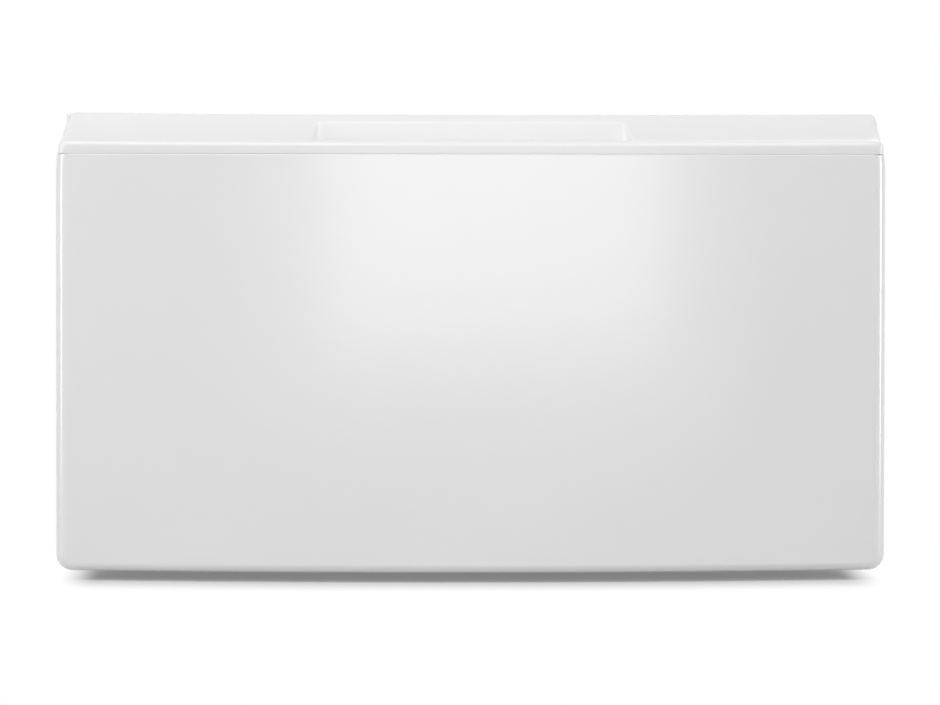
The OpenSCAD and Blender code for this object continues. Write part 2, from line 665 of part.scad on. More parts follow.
// Slide members, drawn with u from the cabinet towards the drawer and v upwards
module member(y0, y1, line) along_y(y0, y1) translate([slide_x, slide_z])
    polygon(sheet([for (p = line) [-p[0], p[1]]], member_t, member_bend));
m = member_t / 2;
outer_v = slide_h / 2 - m;
middle_v = middle_top - m;
inner_v = inner_top - m;
middle_u = member_t + 2 * web_clear + cage_t + m;
inner_lip_u = middle_u + m + 2 * web_clear + cage_t + 0.1;
race_end = slide_t - 2 * member_t;
module outer_member() color(zinc) difference() {
    member(slide_y, slide_y + outer_l, [
        [race_end + m, outer_v - outer_lip], [race_end + m, outer_v], [m, outer_v],
        [m, -outer_v], [race_end + m, -outer_v], [race_end + m, outer_lip - outer_v]
    ]);
    for (y = outer_screw_y) side_hole([slide_x, y, slide_z], screw_d);
}
module middle_member() color(zinc)
    member(middle_y, middle_y + middle_l, [
        [race_end, middle_v], [middle_u, middle_v], [middle_u, -middle_v], [race_end, -middle_v]
    ]);
module inner_member() color(zinc) difference() {
    member(member_y, member_y + inner_l, [
        [inner_lip_u, inner_v], [slide_t - m, inner_v], [slide_t - m, -inner_v], [inner_lip_u, -inner_v]
    ]);
    for (y = member_screw_y) side_hole([box_half, y, slide_z], screw_d);
}

// Ball retainer: strips between two races, joined by a web, with a row of balls in each strip
module cage(y0, v, web_u) {
    first = y0 + cage_l / (2 * balls);
    step = cage_l / balls;
    strip_u = ball_u + ball_d / 2 + cage_t + ball_hole;
    difference() {
        along_y(y0, y0 + cage_l) translate([slide_x, slide_z])
            polygon(sheet([[-strip_u, v], [-web_u, v], [-web_u, -v], [-strip_u, -v]], cage_t, cage_bend));
        for (i = [0 : balls - 1], g = [-1, 1])
            translate([slide_x - ball_u, first + i * step, slide_z + g * v - 2])
                cylinder(d = ball_d + 2 * ball_hole, h = 4);
    }
    for (i = [0 : balls - 1], g = [-1, 1])
        translate([slide_x - ball_u, first + i * step, slide_z + g * v]) sphere(d = ball_d);
}
module outer_cage() color(steel) cage(outer_cage_y, middle_top + race_gap / 2, member_t + web_clear + cage_t / 2);
module inner_cage() color(steel) cage(inner_cage_y, inner_top + race_gap / 2, middle_u + m + web_clear + cage_t / 2);

module lever_profile() difference() {
    l = lever_l / 2;
    v = lever_h / 2;
    polygon([[-l, -1.5], [-l + 3, -v], [-8, -v], [-4, -v], [l - 14, -v * 0.7], [l, -v * 0.7], [l, v * 0.2],
             [l - 14, v * 0.2], [8, v], [-l + 3, v], [-l, v - 1.5]]);
    circle(d = lever_pin_d + 2 * thread_clear);
}
module release_lever() color("black")
    translate([slide_x - lever_u - lever_t, lever_y, slide_z]) rotate([90, 0, 90])
        linear_extrude(lever_t) lever_profile();
module lever_pin() translate([box_half + member_t, lever_y, slide_z]) rotate([0, 90, 0]) {
    cylinder(d = lever_pin_d, h = lever_t + 3 * ball_clear);
    translate([0, 0, lever_t + 2 * ball_clear]) cylinder(d = lever_pin_d + 2, h = 0.8);
}
module lever_pins() color(zinc) { lever_pin(); mirrored() lever_pin(); }

module support_screws() color(zinc) for (y = outer_screw_y) {
    side_screw([slide_x + rail_t, y, slide_z], rail_t + member_t, -1);
    mirrored() side_screw([slide_x + rail_t, y, slide_z], rail_t + member_t, -1);
}
module member_screws() color(zinc) for (y = member_screw_y) {
    side_screw([box_half - box_t, y, slide_z], box_t + member_t, 1);
    mirrored() side_screw([box_half - box_t, y, slide_z], box_t + member_t, 1);
}

// Drawer box
rivet_z = [box_z + rivet_end, box_z + box_h / 2, box_top - rivet_end];
rivet_x = box_half - box_flange / 2 - box_t;
module box_side() color(steel) {
    h = box_t / 2;
    x = box_half - h;
    difference() {
        union() {
            along_z(box_z, box_top - 2) polygon(sheet([
                [box_half - box_flange, front_y + h], [x, front_y + h],
                [x, box_back_y - h], [box_half - box_flange, box_back_y - h]
            ], box_t, box_bend));
            along_y(front_y + 3, box_back_y - 3) polygon(sheet([
                [x + top_hem, box_top - top_hem], [x + top_hem, box_top - h], [x, box_top - h],
                [x, box_z + h], [box_half - box_flange, box_z + h]
            ], box_t, box_bend));
        }
        for (z = front_screw_z) cross_hole([front_screw_x, front_y, z], screw_d);
        for (z = rivet_z) cross_hole([rivet_x, box_back_y, z], screw_d);
        for (y = member_screw_y) side_hole([box_half, y, slide_z], screw_d);
    }
}
module box_back() color(steel) difference() {
    h = box_t / 2;
    y = box_back_y - box_t - h;
    half = box_half - box_t - box_bend;
    along_x(-half, half) polygon(sheet([
        [y - box_flange, floor_z + h], [y, floor_z + h], [y, box_top - h], [y - top_hem, box_top - h],
        [y - top_hem, box_top - top_hem]
    ], box_t, box_bend));
    for (s = [-1, 1], z = rivet_z) cross_hole([s * rivet_x, box_back_y, z], screw_d);
}
module box_bottom() color(steel) {
    h = box_t / 2;
    z = floor_z - h;
    y0 = front_y + h;
    y1 = box_back_y - box_t - box_bend;
    bead_pitch = guide_pitch / 2;
    beads = floor((box_d / 2 - bead_pitch) / bead_pitch);
    half = box_half - box_flange - 1;
    wide = box_half - box_t - box_bend;
    along_x(-half, half) polygon(sheet(concat(
        [[y0, z + box_flange], [y0, z]],
        [for (i = [-beads : beads - 1]) let (y = divider_y + (i + 0.5) * bead_pitch) each [
            [y - 3 * bead_h, z], [y - 2 * bead_h, z + bead_h], [y + 2 * bead_h, z + bead_h], [y + 3 * bead_h, z]
        ]],
        [[y1, z]]
    ), box_t, box_bend));
    for (s = [0, 1]) mirror([s, 0, 0]) box([half - eps, y0 + 1, z - h], [wide, y1, z + h]);
}
module box_rivets() color(zinc)
    for (s = [-1, 1], z = rivet_z) translate([s * rivet_x, box_back_y, z]) {
        rotate([90, 0, 0]) cylinder(d = screw_d, h = 2 * box_t);
        rotate([-90, 0, 0]) cylinder(d1 = head_d * 0.9, d2 = head_d * 0.5, h = 1.2);
        translate([0, -2 * box_t, 0]) rotate([90, 0, 0]) cylinder(d1 = head_d * 0.8, d2 = head_d * 0.5, h = 1);
    }

// Divider guides: an upright channel for each place of the divider
guide_in = divider_t / 2 + divider_clear;
module guides() color(white) for (i = [-1 : 1]) translate([0, divider_y + i * guide_pitch, 0])
    along_z(divider_z, divider_z + guide_h) {
        x = box_half - box_t;
        e = guide_in + guide_t;
        polygon([[x, -e - 5], [x - guide_t, -e - 5], [x - guide_t, -e], [x - guide_t - guide_slot, -e],
                 [x - guide_t - guide_slot, -guide_in], [x - guide_t, -guide_in], [x - guide_t, guide_in],
                 [x - guide_t - guide_slot, guide_in], [x - guide_t - guide_slot, e], [x - guide_t, e],
                 [x - guide_t, e + 5], [x, e + 5]]);
    }
module divider() color(white) {
    half = box_half - box_t - guide_t - divider_clear;
    h = divider_t / 2;
    top = divider_z + divider_h;
    along_x(-half, half) polygon(sheet([
        [divider_y, divider_z], [divider_y, top - h], [divider_y + top_hem, top - h], [divider_y + top_hem, top - top_hem]
    ], divider_t, 1.4));
}

mirrored() side_panel();  // side_panel_left
side_panel();  // side_panel_right
back_panel();
top_front_rail();
top_rear_rail();
bottom_front_rail();
bottom_rear_rail();
mirrored() slide_support();  // slide_support_left
slide_support();  // slide_support_right
mount_plate_front(-1);  // mount_plate_front_left
mount_plate_front(1);  // mount_plate_front_right
mount_plate_rear(-1);  // mount_plate_rear_left
mount_plate_rear(1);  // mount_plate_rear_right
foot_plate(-1, foot_front_y);  // foot_plate_front_left
foot_plate(1, foot_front_y);  // foot_plate_front_right
foot_plate(-1, foot_rear_y);  // foot_plate_rear_left
foot_plate(1, foot_rear_y);  // foot_plate_rear_right
weld_nuts();
lock_nuts();
back_screws();
translate(feet[0]) foot_stud();  // foot_stud_front_left
translate(feet[1]) foot_stud();  // foot_stud_front_right
translate(feet[2]) foot_stud();  // foot_stud_rear_left
translate(feet[3]) foot_stud();  // foot_stud_rear_right
translate(feet[0]) foot_pad();  // foot_pad_front_left
translate(feet[1]) foot_pad();  // foot_pad_front_right
translate(feet[2]) foot_pad();  // foot_pad_rear_left
translate(feet[3]) foot_pad();  // foot_pad_rear_right
mirrored() outer_member();  // outer_member_left
outer_member();  // outer_member_right
mirrored() middle_member();  // middle_member_left
middle_member();  // middle_member_right
mirrored() inner_member();  // inner_member_left
inner_member();  // inner_member_right
mirrored() outer_cage();  // outer_cage_left
outer_cage();  // outer_cage_right
mirrored() inner_cage();  // inner_cage_left
inner_cage();  // inner_cage_right
mirrored() release_lever();  // release_lever_left
release_lever();  // release_lever_right
lever_pins();
support_screws();
member_screws();
front_panel();
handle_cap();
inner_panel();
mirrored() box_side();  // box_side_left
box_side();  // box_side_right
box_back();
box_bottom();
mirrored() guides();  // guides_left
guides();  // guides_right
divider();
front_screws();
box_rivets();
cap_screws();
bumpers();
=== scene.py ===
import math

import bmesh
import bpy
from mathutils import Matrix, Vector


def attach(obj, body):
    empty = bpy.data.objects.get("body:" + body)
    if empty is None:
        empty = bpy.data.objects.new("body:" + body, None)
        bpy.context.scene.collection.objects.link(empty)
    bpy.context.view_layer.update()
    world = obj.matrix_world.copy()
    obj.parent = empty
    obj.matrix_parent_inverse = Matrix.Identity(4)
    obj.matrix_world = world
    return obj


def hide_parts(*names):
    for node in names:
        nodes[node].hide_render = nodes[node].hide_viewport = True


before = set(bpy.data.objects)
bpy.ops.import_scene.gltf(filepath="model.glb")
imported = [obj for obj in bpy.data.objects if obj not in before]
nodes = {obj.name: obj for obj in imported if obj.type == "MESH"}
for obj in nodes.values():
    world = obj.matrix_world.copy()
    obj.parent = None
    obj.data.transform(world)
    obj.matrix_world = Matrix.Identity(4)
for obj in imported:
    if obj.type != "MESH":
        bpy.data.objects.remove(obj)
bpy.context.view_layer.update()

# ---------------------------------------------------------------------------------------------------------
# Cabinet side panels, left and right.
# Each is one sheet of 1 mm steel, folded over at all four edges and coated with white enamel.
# The slide supports and the cross rails are spot-welded to their insides.

ENAMEL_WHITE = (0.865, 0.865, 0.865)


def new_finish(name):
    """A material that holds a Principled shader joined to its output."""
    finish = bpy.data.materials.new(name)
    finish.use_nodes = True
    tree = finish.node_tree
    tree.nodes.clear()
    shader = tree.nodes.new("ShaderNodeBsdfPrincipled")
    output = tree.nodes.new("ShaderNodeOutputMaterial")
    tree.links.new(shader.outputs["BSDF"], output.inputs["Surface"])
    return finish, tree, shader


def put(tree, kind, inputs=None, **settings):
    """A node of that kind. An input is given a value, or a link where the value is a socket."""
    made = tree.nodes.new(kind)
    for key, value in settings.items():
        setattr(made, key, value)
    for key, value in (inputs or {}).items():
        if isinstance(value, bpy.types.NodeSocket):
            tree.links.new(value, made.inputs[key])
        else:
            made.inputs[key].default_value = value
    return made


def math_node(tree, operation, a, b=0.0, c=0.0):
    """The result of one arithmetic step."""
    return put(tree, "ShaderNodeMath", {0: a, 1: b, 2: c}, operation=operation).outputs[0]


def blend_colours(tree, share, a, b):
    """Colour a changing to colour b as share goes from 0 to 1."""
    return put(tree, "ShaderNodeMix", {0: share, 6: a, 7: b}, data_type="RGBA").outputs[2]


def remap(tree, value, low, high, new_low, new_high):
    """Value moved from one range to another, and held inside it."""
    steps = {"Value": value, 1: low, 2: high, 3: new_low, 4: new_high}
    return put(tree, "ShaderNodeMapRange", steps, clamp=True).outputs[0]


def new_effect(name, takes, gives):
    """An empty shader group with named sockets, with its entry sockets and its exit sockets."""
    effect = bpy.data.node_groups.new(name, "ShaderNodeTree")
    for label, value in takes.items():
        colour = isinstance(value, tuple)
        kind = "NodeSocketColor" if colour else "NodeSocketFloat"
        socket = effect.interface.new_socket(name=label, in_out="INPUT", socket_type=kind)
        socket.default_value = (*value, 1.0) if colour else value
    for label in gives:
        kind = "NodeSocketColor" if label == "Colour" else "NodeSocketFloat"
        effect.interface.new_socket(name=label, in_out="OUTPUT", socket_type=kind)
    entry = effect.nodes.new("NodeGroupInput").outputs
    leave = effect.nodes.new("NodeGroupOutput").inputs
    return effect, entry, leave


def use_effect(tree, effect, **values):
    """One use of a shader group in a material, with its own values."""
    made = tree.nodes.new("ShaderNodeGroup")
    made.node_tree = effect
    for key, value in values.items():
        label = key.replace("_", " ")
        if isinstance(value, bpy.types.NodeSocket):
            tree.links.new(value, made.inputs[label])
        else:
            made.inputs[label].default_value = (*value, 1.0) if isinstance(value, tuple) else value
    return made.outputs


def feed(tree, shader, effect, relief):
    """Joins an effect's colour, roughness and height to the shader. Relief is the height's real depth."""
    tree.links.new(effect["Colour"], shader.inputs["Base Color"])
    tree.links.new(effect["Roughness"], shader.inputs["Roughness"])
    bump = put(tree, "ShaderNodeBump", {"Height": effect["Height"], "Distance": relief})
    tree.links.new(bump.outputs["Normal"], shader.inputs["Normal"])


def dress(finish, *names):
    """Gives a finish to CAD nodes that keep their shape."""
    for name in names:
        nodes[name].material_slots[0].material = finish


# Sprayed and baked enamel: a fine ripple, and a gloss that varies softly from place to place
enamel_skin, entry, leave = new_effect(
    "enamel_skin",
    {"Colour": ENAMEL_WHITE, "Ripple Size": 0.002, "Gloss Patch": 0.18, "Roughness": 0.2},
    ["Colour", "Roughness", "Height"],
)
place = put(enamel_skin, "ShaderNodeTexCoord").outputs["Object"]
per_metre = math_node(enamel_skin, "DIVIDE", 1.0, entry["Ripple Size"])
ripple = put(enamel_skin, "ShaderNodeTexNoise", {"Vector": place, "Scale": per_metre, "Detail": 1.5})
patch_scale = math_node(enamel_skin, "DIVIDE", 1.0, entry["Gloss Patch"])
patch = put(enamel_skin, "ShaderNodeTexNoise", {"Vector": place, "Scale": patch_scale, "Detail": 1.0})
shift = remap(enamel_skin, patch.outputs[0], 0.0, 1.0, -0.04, 0.04)
enamel_skin.links.new(math_node(enamel_skin, "ADD", entry["Roughness"], shift), leave["Roughness"])
shade = remap(enamel_skin, patch.outputs[0], 0.0, 1.0, 0.985, 1.0)
tone = put(enamel_skin, "ShaderNodeVectorMath", {0: entry["Colour"], "Scale": shade}, operation="SCALE")
enamel_skin.links.new(tone.outputs[0], leave["Colour"])
enamel_skin.links.new(ripple.outputs[0], leave["Height"])

enamel, tree, shader = new_finish("baked_white_enamel")
skin = use_effect(tree, enamel_skin, Colour=ENAMEL_WHITE, Ripple_Size=0.0022, Roughness=0.22)
feed(tree, shader, skin, 0.00003)
shader.inputs["Coat Weight"].default_value = 0.7
shader.inputs["Coat Roughness"].default_value = 0.16
dress(enamel, "side_panel_left", "side_panel_right")

# ---------------------------------------------------------------------------------------------------------
# Back panel.
# Thin galvanised sheet with pressed upright ribs that keep it from drumming.
# It is screwed to the side panels' rear flanges.

# Hot-dip zinc: crystals a few millimetres across, each with its own tone, with dull streaks over them
zinc_flowers, entry, leave = new_effect(
    "zinc_flowers",
    {
        "Light Zinc": (0.7, 0.71, 0.72), "Dark Zinc": (0.5, 0.51, 0.53), "Crystal Size": 0.009,
        "Roughness": 0.36,
    },
    ["Colour", "Roughness", "Height"],
)
place = put(zinc_flowers, "ShaderNodeTexCoord").outputs["Object"]
wander = put(zinc_flowers, "ShaderNodeTexNoise", {"Vector": place, "Scale": 90.0, "Detail": 2.0})
push = put(
    zinc_flowers, "ShaderNodeVectorMath", {0: wander.outputs["Color"], "Scale": 0.006}, operation="SCALE",
).outputs[0]
frayed = put(zinc_flowers, "ShaderNodeVectorMath", {0: place, 1: push}, operation="ADD").outputs[0]
per_metre = math_node(zinc_flowers, "DIVIDE", 1.0, entry["Crystal Size"])
crystal = put(zinc_flowers, "ShaderNodeTexVoronoi", {"Vector": frayed, "Scale": per_metre})
parts = put(zinc_flowers, "ShaderNodeSeparateColor", {0: crystal.outputs["Color"]}).outputs
streak = put(zinc_flowers, "ShaderNodeTexNoise", {"Vector": place, "Scale": 14.0, "Detail": 4.0}).outputs[0]
streak = math_node(zinc_flowers, "MULTIPLY", streak, 0.4)
share = math_node(zinc_flowers, "MULTIPLY_ADD", parts[0], 0.6, streak)
colour = blend_colours(zinc_flowers, share, entry["Dark Zinc"], entry["Light Zinc"])
zinc_flowers.links.new(colour, leave["Colour"])
shift = remap(zinc_flowers, parts[1], 0.0, 1.0, -0.07, 0.07)
zinc_flowers.links.new(math_node(zinc_flowers, "ADD", entry["Roughness"], shift), leave["Roughness"])
zinc_flowers.links.new(crystal.outputs["Distance"], leave["Height"])

galvanised, tree, shader = new_finish("galvanised_sheet")
flowers = use_effect(
    tree, zinc_flowers, Light_Zinc=(0.74, 0.75, 0.765), Dark_Zinc=(0.56, 0.575, 0.595), Crystal_Size=0.008,
    Roughness=0.4,
)
feed(tree, shader, flowers, 0.00002)
shader.inputs["Metallic"].default_value = 0.85
dress(galvanised, "back_panel")

# ---------------------------------------------------------------------------------------------------------
# Cross rails and the washer's mount plates.
# Four channels of galvanised steel tie the side panels together, two at the top and two at the bottom.
# A thick plate is welded under each end of the top rails, where the washer's bolts pass.

plain_zinc, tree, shader = new_finish("galvanised_strip")
flowers = use_effect(
    tree, zinc_flowers, Light_Zinc=(0.68, 0.69, 0.7), Dark_Zinc=(0.54, 0.55, 0.57), Crystal_Size=0.0035,
    Roughness=0.42,
)
feed(tree, shader, flowers, 0.00002)
shader.inputs["Metallic"].default_value = 0.85
dress(plain_zinc, "top_front_rail", "top_rear_rail", "bottom_front_rail", "bottom_rear_rail")
for end in ("front", "rear"):
    for side in ("left", "right"):
        dress(plain_zinc, f"mount_plate_{end}_{side}", f"foot_plate_{end}_{side}")

# ---------------------------------------------------------------------------------------------------------
# Slide supports.
# A hat-shaped channel on the inside of each side panel, of the same galvanised strip as the rails.
# It holds the drawer slide clear of the panel.

dress(plain_zinc, "slide_support_left", "slide_support_right")

# ---------------------------------------------------------------------------------------------------------
# Weld nuts and lock nuts of the feet.
# Forged steel hexagons with thin bright zinc plating, which shows faint blue and straw tints.
# The weld nuts sit on the bottom rails, and the lock nuts are spun up against the foot plates.

# Electroplated zinc: a bright skin with slow changes of tint and a few duller patches
zinc_plate, entry, leave = new_effect(
    "zinc_plate",
    {"Silver": (0.66, 0.67, 0.69), "Tint": (0.6, 0.6, 0.5), "Patch Size": 0.006, "Roughness": 0.3},
    ["Colour", "Roughness", "Height"],
)
place = put(zinc_plate, "ShaderNodeTexCoord").outputs["Object"]
per_metre = math_node(zinc_plate, "DIVIDE", 1.0, entry["Patch Size"])
cloud = put(
    zinc_plate, "ShaderNodeTexNoise", {"Vector": place, "Scale": per_metre, "Detail": 3.0},
).outputs[0]
share = remap(zinc_plate, cloud, 0.4, 0.7, 0.0, 1.0)
zinc_plate.links.new(blend_colours(zinc_plate, share, entry["Silver"], entry["Tint"]), leave["Colour"])
pits = put(zinc_plate, "ShaderNodeTexNoise", {"Vector": place, "Scale": 2400.0, "Detail": 2.0}).outputs[0]
shift = remap(zinc_plate, cloud, 0.3, 0.7, -0.05, 0.08)
zinc_plate.links.new(math_node(zinc_plate, "ADD", entry["Roughness"], shift), leave["Roughness"])
zinc_plate.links.new(pits, leave["Height"])

plated, tree, shader = new_finish("zinc_plated_steel")
plate = use_effect(tree, zinc_plate, Silver=(0.66, 0.67, 0.69), Tint=(0.6, 0.59, 0.5), Roughness=0.35)
feed(tree, shader, plate, 0.00001)
shader.inputs["Metallic"].default_value = 1.0
dress(plated, "weld_nuts", "lock_nuts")

# ---------------------------------------------------------------------------------------------------------
# Levelling feet: four threaded studs.
# Each is turned from hexagonal bar: a round flange that sits on the pad, a hexagon for the spanner,
# and an M10 thread that runs up through the lock nut, the rail and the weld nut.

FOOT_STATIONS = {
    "front_left": (-0.3, -0.155),
    "front_right": (0.3, -0.155),
    "rear_left": (-0.3, 0.2842),
    "rear_right": (0.3, 0.2842),
}
stud_flange_r = 0.0135
stud_hex_flat = 0.0085
stud_hex_corner = 0.0094
thread_crest_r = 0.00497
thread_root_r = 0.0042
thread_pitch = 0.0015
stud_flange_z = 0.009
stud_hex_z = 0.0112
stud_hex_top_z = 0.022
stud_top_z = 0.058


def lathe_skin(rows, around):
    """Points and faces of a closed skin from (height, radius rule) rows, where the rule takes the angle."""
    points = []
    for height, radius in rows:
        for k in range(around):
            angle = 2 * math.pi * k / around
            r = radius(angle)
            points.append((r * math.cos(angle), r * math.sin(angle), height))
    faces = []
    for j in range(len(rows) - 1):
        for k in range(around):
            a = j * around + k
            b = j * around + (k + 1) % around
            faces.append((a, b, b + around, a + around))
    last = (len(rows) - 1) * around
    faces.append(tuple(reversed(range(around))))
    faces.append(tuple(range(last, last + around)))
    return points, faces


def round_rule(r):
    """The same radius at every angle."""
    return lambda angle: r


def hex_rule(inset):
    """A hexagon whose corners are turned down to a slightly smaller circle."""

    def radius(angle):
        off = (angle + math.pi / 6) % (math.pi / 3) - math.pi / 6
        return min(stud_hex_flat / math.cos(off), stud_hex_corner) - inset

    return radius


def thread_rule(height, depth):
    """A 60 degree thread with flat crests, seen at one height."""

    def radius(angle):
        turn = (height / thread_pitch - angle / (2 * math.pi)) % 1.0
        rise = min(1.0, max(0.0, 2.6 * (0.5 - abs(turn - 0.5)) - 0.15))
        return thread_root_r + (thread_crest_r - thread_root_r) * rise * depth

    return radius


def new_piece(name, points, faces, finish):
    """A mesh object with that finish, smooth apart from its sharp edges."""
    mesh = bpy.data.meshes.new(name)
    mesh.from_pydata([tuple(p) for p in points], [], faces)
    mesh.materials.append(finish)
    mesh.polygons.foreach_set("use_smooth", [True] * len(mesh.polygons))
    mesh.validate()
    piece = bpy.data.objects.new(name, mesh)
    bpy.context.scene.collection.objects.link(piece)
    return piece


stud_rows = [
    (stud_flange_z, round_rule(stud_flange_r - 0.0008)),
    (stud_flange_z + 0.0003, round_rule(stud_flange_r - 0.0002)),
    (stud_flange_z + 0.0008, round_rule(stud_flange_r)),
    (stud_flange_z + 0.0014, round_rule(stud_flange_r)),
    (stud_flange_z + 0.0019, round_rule(stud_flange_r - 0.0003)),
    (stud_hex_z - 0.0001, round_rule(stud_flange_r - 0.0016)),
    (stud_hex_z, hex_rule(0.0)),
    (stud_hex_top_z - 0.0012, hex_rule(0.0)),
    (stud_hex_top_z - 0.0003, hex_rule(0.0005)),
    (stud_hex_top_z, hex_rule(0.0013)),
    (stud_hex_top_z, round_rule(thread_root_r)),
]
thread_steps = 8
thread_start = stud_hex_top_z + 0.0006
thread_rows = int((stud_top_z - 0.0010 - thread_start) / thread_pitch * thread_steps)
for step in range(thread_rows + 1):
    level = thread_start + step * thread_pitch / thread_steps
    run_out = min(1.0, step / thread_steps, (thread_rows - step) / thread_steps + 0.35)
    stud_rows.append((level, thread_rule(level, run_out)))
stud_rows.append((stud_top_z, round_rule(thread_root_r - 0.0004)))

stud_points, stud_faces = lathe_skin(stud_rows, 36)
for station, (x, y) in FOOT_STATIONS.items():
    placed = [(px + x, py + y, pz) for px, py, pz in stud_points]
    stud = new_piece(f"threaded_stud_{station}", placed, stud_faces, plated)
    stud.data.set_sharp_from_angle(angle=math.radians(40))
    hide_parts(f"foot_stud_{station}")
    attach(stud, f"stud_{station}")

# ---------------------------------------------------------------------------------------------------------
# Levelling feet: four rubber pads.
# Moulded in black rubber over the stud's flange, with a gripping edge and ring grooves underneath.
# The pad stays still on the floor while the stud turns in it.

BLACK_RUBBER = (0.018, 0.018, 0.019)
pad_r = 0.0199
pad_profile = [
    (0.0, 0.0155, 0.0),
    (0.0, 0.0182, 0.0),
    (0.0006, 0.0193, 0.0),
    (0.0018, pad_r, 0.0),
    (0.0030, pad_r, 1.0),
    (0.0044, pad_r - 0.0001, 1.0),
    (0.0052, pad_r - 0.0009, 0.0),
    (0.0070, 0.0172, 0.0),
    (0.0084, 0.0158, 0.0),
    (0.0090, 0.0151, 0.0),
    (0.0090, 0.0143, 0.0),
    (0.0086, 0.0138, 0.0),
]

# Rubber: nearly black, with a greyish bloom and a finely pitted surface
rubber_bloom, entry, leave = new_effect(
    "rubber_bloom",
    {"Rubber": BLACK_RUBBER, "Bloom": (0.05, 0.05, 0.052), "Roughness": 0.62},
    ["Colour", "Roughness", "Height"],
)
place = put(rubber_bloom, "ShaderNodeTexCoord").outputs["Object"]
cloud = put(rubber_bloom, "ShaderNodeTexNoise", {"Vector": place, "Scale": 120.0, "Detail": 5.0}).outputs[0]
share = remap(rubber_bloom, cloud, 0.42, 0.75, 0.0, 1.0)
rubber_bloom.links.new(blend_colours(rubber_bloom, share, entry["Rubber"], entry["Bloom"]), leave["Colour"])
shift = remap(rubber_bloom, cloud, 0.3, 0.7, -0.06, 0.1)
rubber_bloom.links.new(math_node(rubber_bloom, "ADD", entry["Roughness"], shift), leave["Roughness"])
pores = put(rubber_bloom, "ShaderNodeTexNoise", {"Vector": place, "Scale": 1800.0, "Detail": 3.0}).outputs[0]
rubber_bloom.links.new(pores, leave["Height"])

rubber, tree, shader = new_finish("black_rubber")
bloom = use_effect(tree, rubber_bloom, Rubber=BLACK_RUBBER, Bloom=(0.045, 0.045, 0.047), Roughness=0.6)
feed(tree, shader, bloom, 0.00004)
shader.inputs["Specular IOR Level"].default_value = 0.35


def ribbed_rule(r, grip):
    """A round edge with shallow upright grip ribs."""
    return lambda angle: r - 0.0005 * grip * (0.5 - 0.5 * math.cos(36 * angle))


pad_rows = [(0.0009, round_rule(r)) for r in (0.0012, 0.0040)]
for groove in (0.0052, 0.0094, 0.0136):
    pad_rows += [(0.0, round_rule(groove)), (0.0, round_rule(groove + 0.0022))]
    pad_rows += [(0.0009, round_rule(groove + 0.0026)), (0.0009, round_rule(groove + 0.0038))]
pad_rows = pad_rows[:-2]
pad_rows += [(height, ribbed_rule(r, grip)) for height, r, grip in pad_profile[1:]]
pad_points, pad_faces = lathe_skin(pad_rows, 144)
for station, (x, y) in FOOT_STATIONS.items():
    placed = [(px + x, py + y, pz) for px, py, pz in pad_points]
    pad = new_piece(f"ribbed_pad_{station}", placed, pad_faces, rubber)
    pad.data.set_sharp_from_angle(angle=math.radians(38))
    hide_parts(f"foot_pad_{station}")
    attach(pad, f"pad_{station}")

# ---------------------------------------------------------------------------------------------------------
# Drawer slides, left and right.
# Three roll-formed members of zinc-plated strip run one inside the other on rows of bright steel balls.
# The outer member is screwed to the slide support, and the inner one to the drawer's side.

# Cold-rolled strip: fine lines along the slide, and a plated tone that wanders a little
rolled_strip, entry, leave = new_effect(
    "rolled_strip",
    {"Silver": (0.62, 0.63, 0.65), "Shadow": (0.5, 0.51, 0.53), "Line Size": 0.0006, "Roughness": 0.32},
    ["Colour", "Roughness", "Height"],
)
place = put(rolled_strip, "ShaderNodeTexCoord").outputs["Object"]
drawn_out = put(rolled_strip, "ShaderNodeMapping", {"Vector": place, "Scale": (1.0, 0.02, 1.0)}).outputs[0]
per_metre = math_node(rolled_strip, "DIVIDE", 1.0, entry["Line Size"])
lines = put(
    rolled_strip, "ShaderNodeTexNoise", {"Vector": drawn_out, "Scale": per_metre, "Detail": 3.0},
).outputs[0]
cloud = put(rolled_strip, "ShaderNodeTexNoise", {"Vector": place, "Scale": 22.0, "Detail": 3.0}).outputs[0]
share = math_node(rolled_strip, "MULTIPLY", math_node(rolled_strip, "ADD", lines, cloud), 0.5)
share = remap(rolled_strip, share, 0.35, 0.65, 0.0, 1.0)
rolled_strip.links.new(blend_colours(rolled_strip, share, entry["Shadow"], entry["Silver"]), leave["Colour"])
shift = remap(rolled_strip, lines, 0.3, 0.7, -0.06, 0.06)
rolled_strip.links.new(math_node(rolled_strip, "ADD", entry["Roughness"], shift), leave["Roughness"])
rolled_strip.links.new(lines, leave["Height"])

slide_steel, tree, shader = new_finish("rolled_slide_steel")
strip = use_effect(tree, rolled_strip, Silver=(0.68, 0.69, 0.71), Shadow=(0.56, 0.57, 0.59), Roughness=0.36)
feed(tree, shader, strip, 0.00001)
shader.inputs["Metallic"].default_value = 1.0

ball_steel, tree, shader = new_finish("bright_retainer_steel")
strip = use_effect(
    tree, rolled_strip, Silver=(0.8, 0.8, 0.81), Shadow=(0.72, 0.72, 0.73), Line_Size=0.0003, Roughness=0.18,
)
feed(tree, shader, strip, 0.000005)
shader.inputs["Metallic"].default_value = 1.0

for side in ("left", "right"):
    dress(slide_steel, f"outer_member_{side}", f"middle_member_{side}", f"inner_member_{side}")
    dress(ball_steel, f"outer_cage_{side}", f"inner_cage_{side}")

# ---------------------------------------------------------------------------------------------------------
# Release levers and their pins.
# A small black nylon lever in each inner member, pressed up or down to lift the drawer off its slides.
# It turns on a plated pin that is riveted to the member.

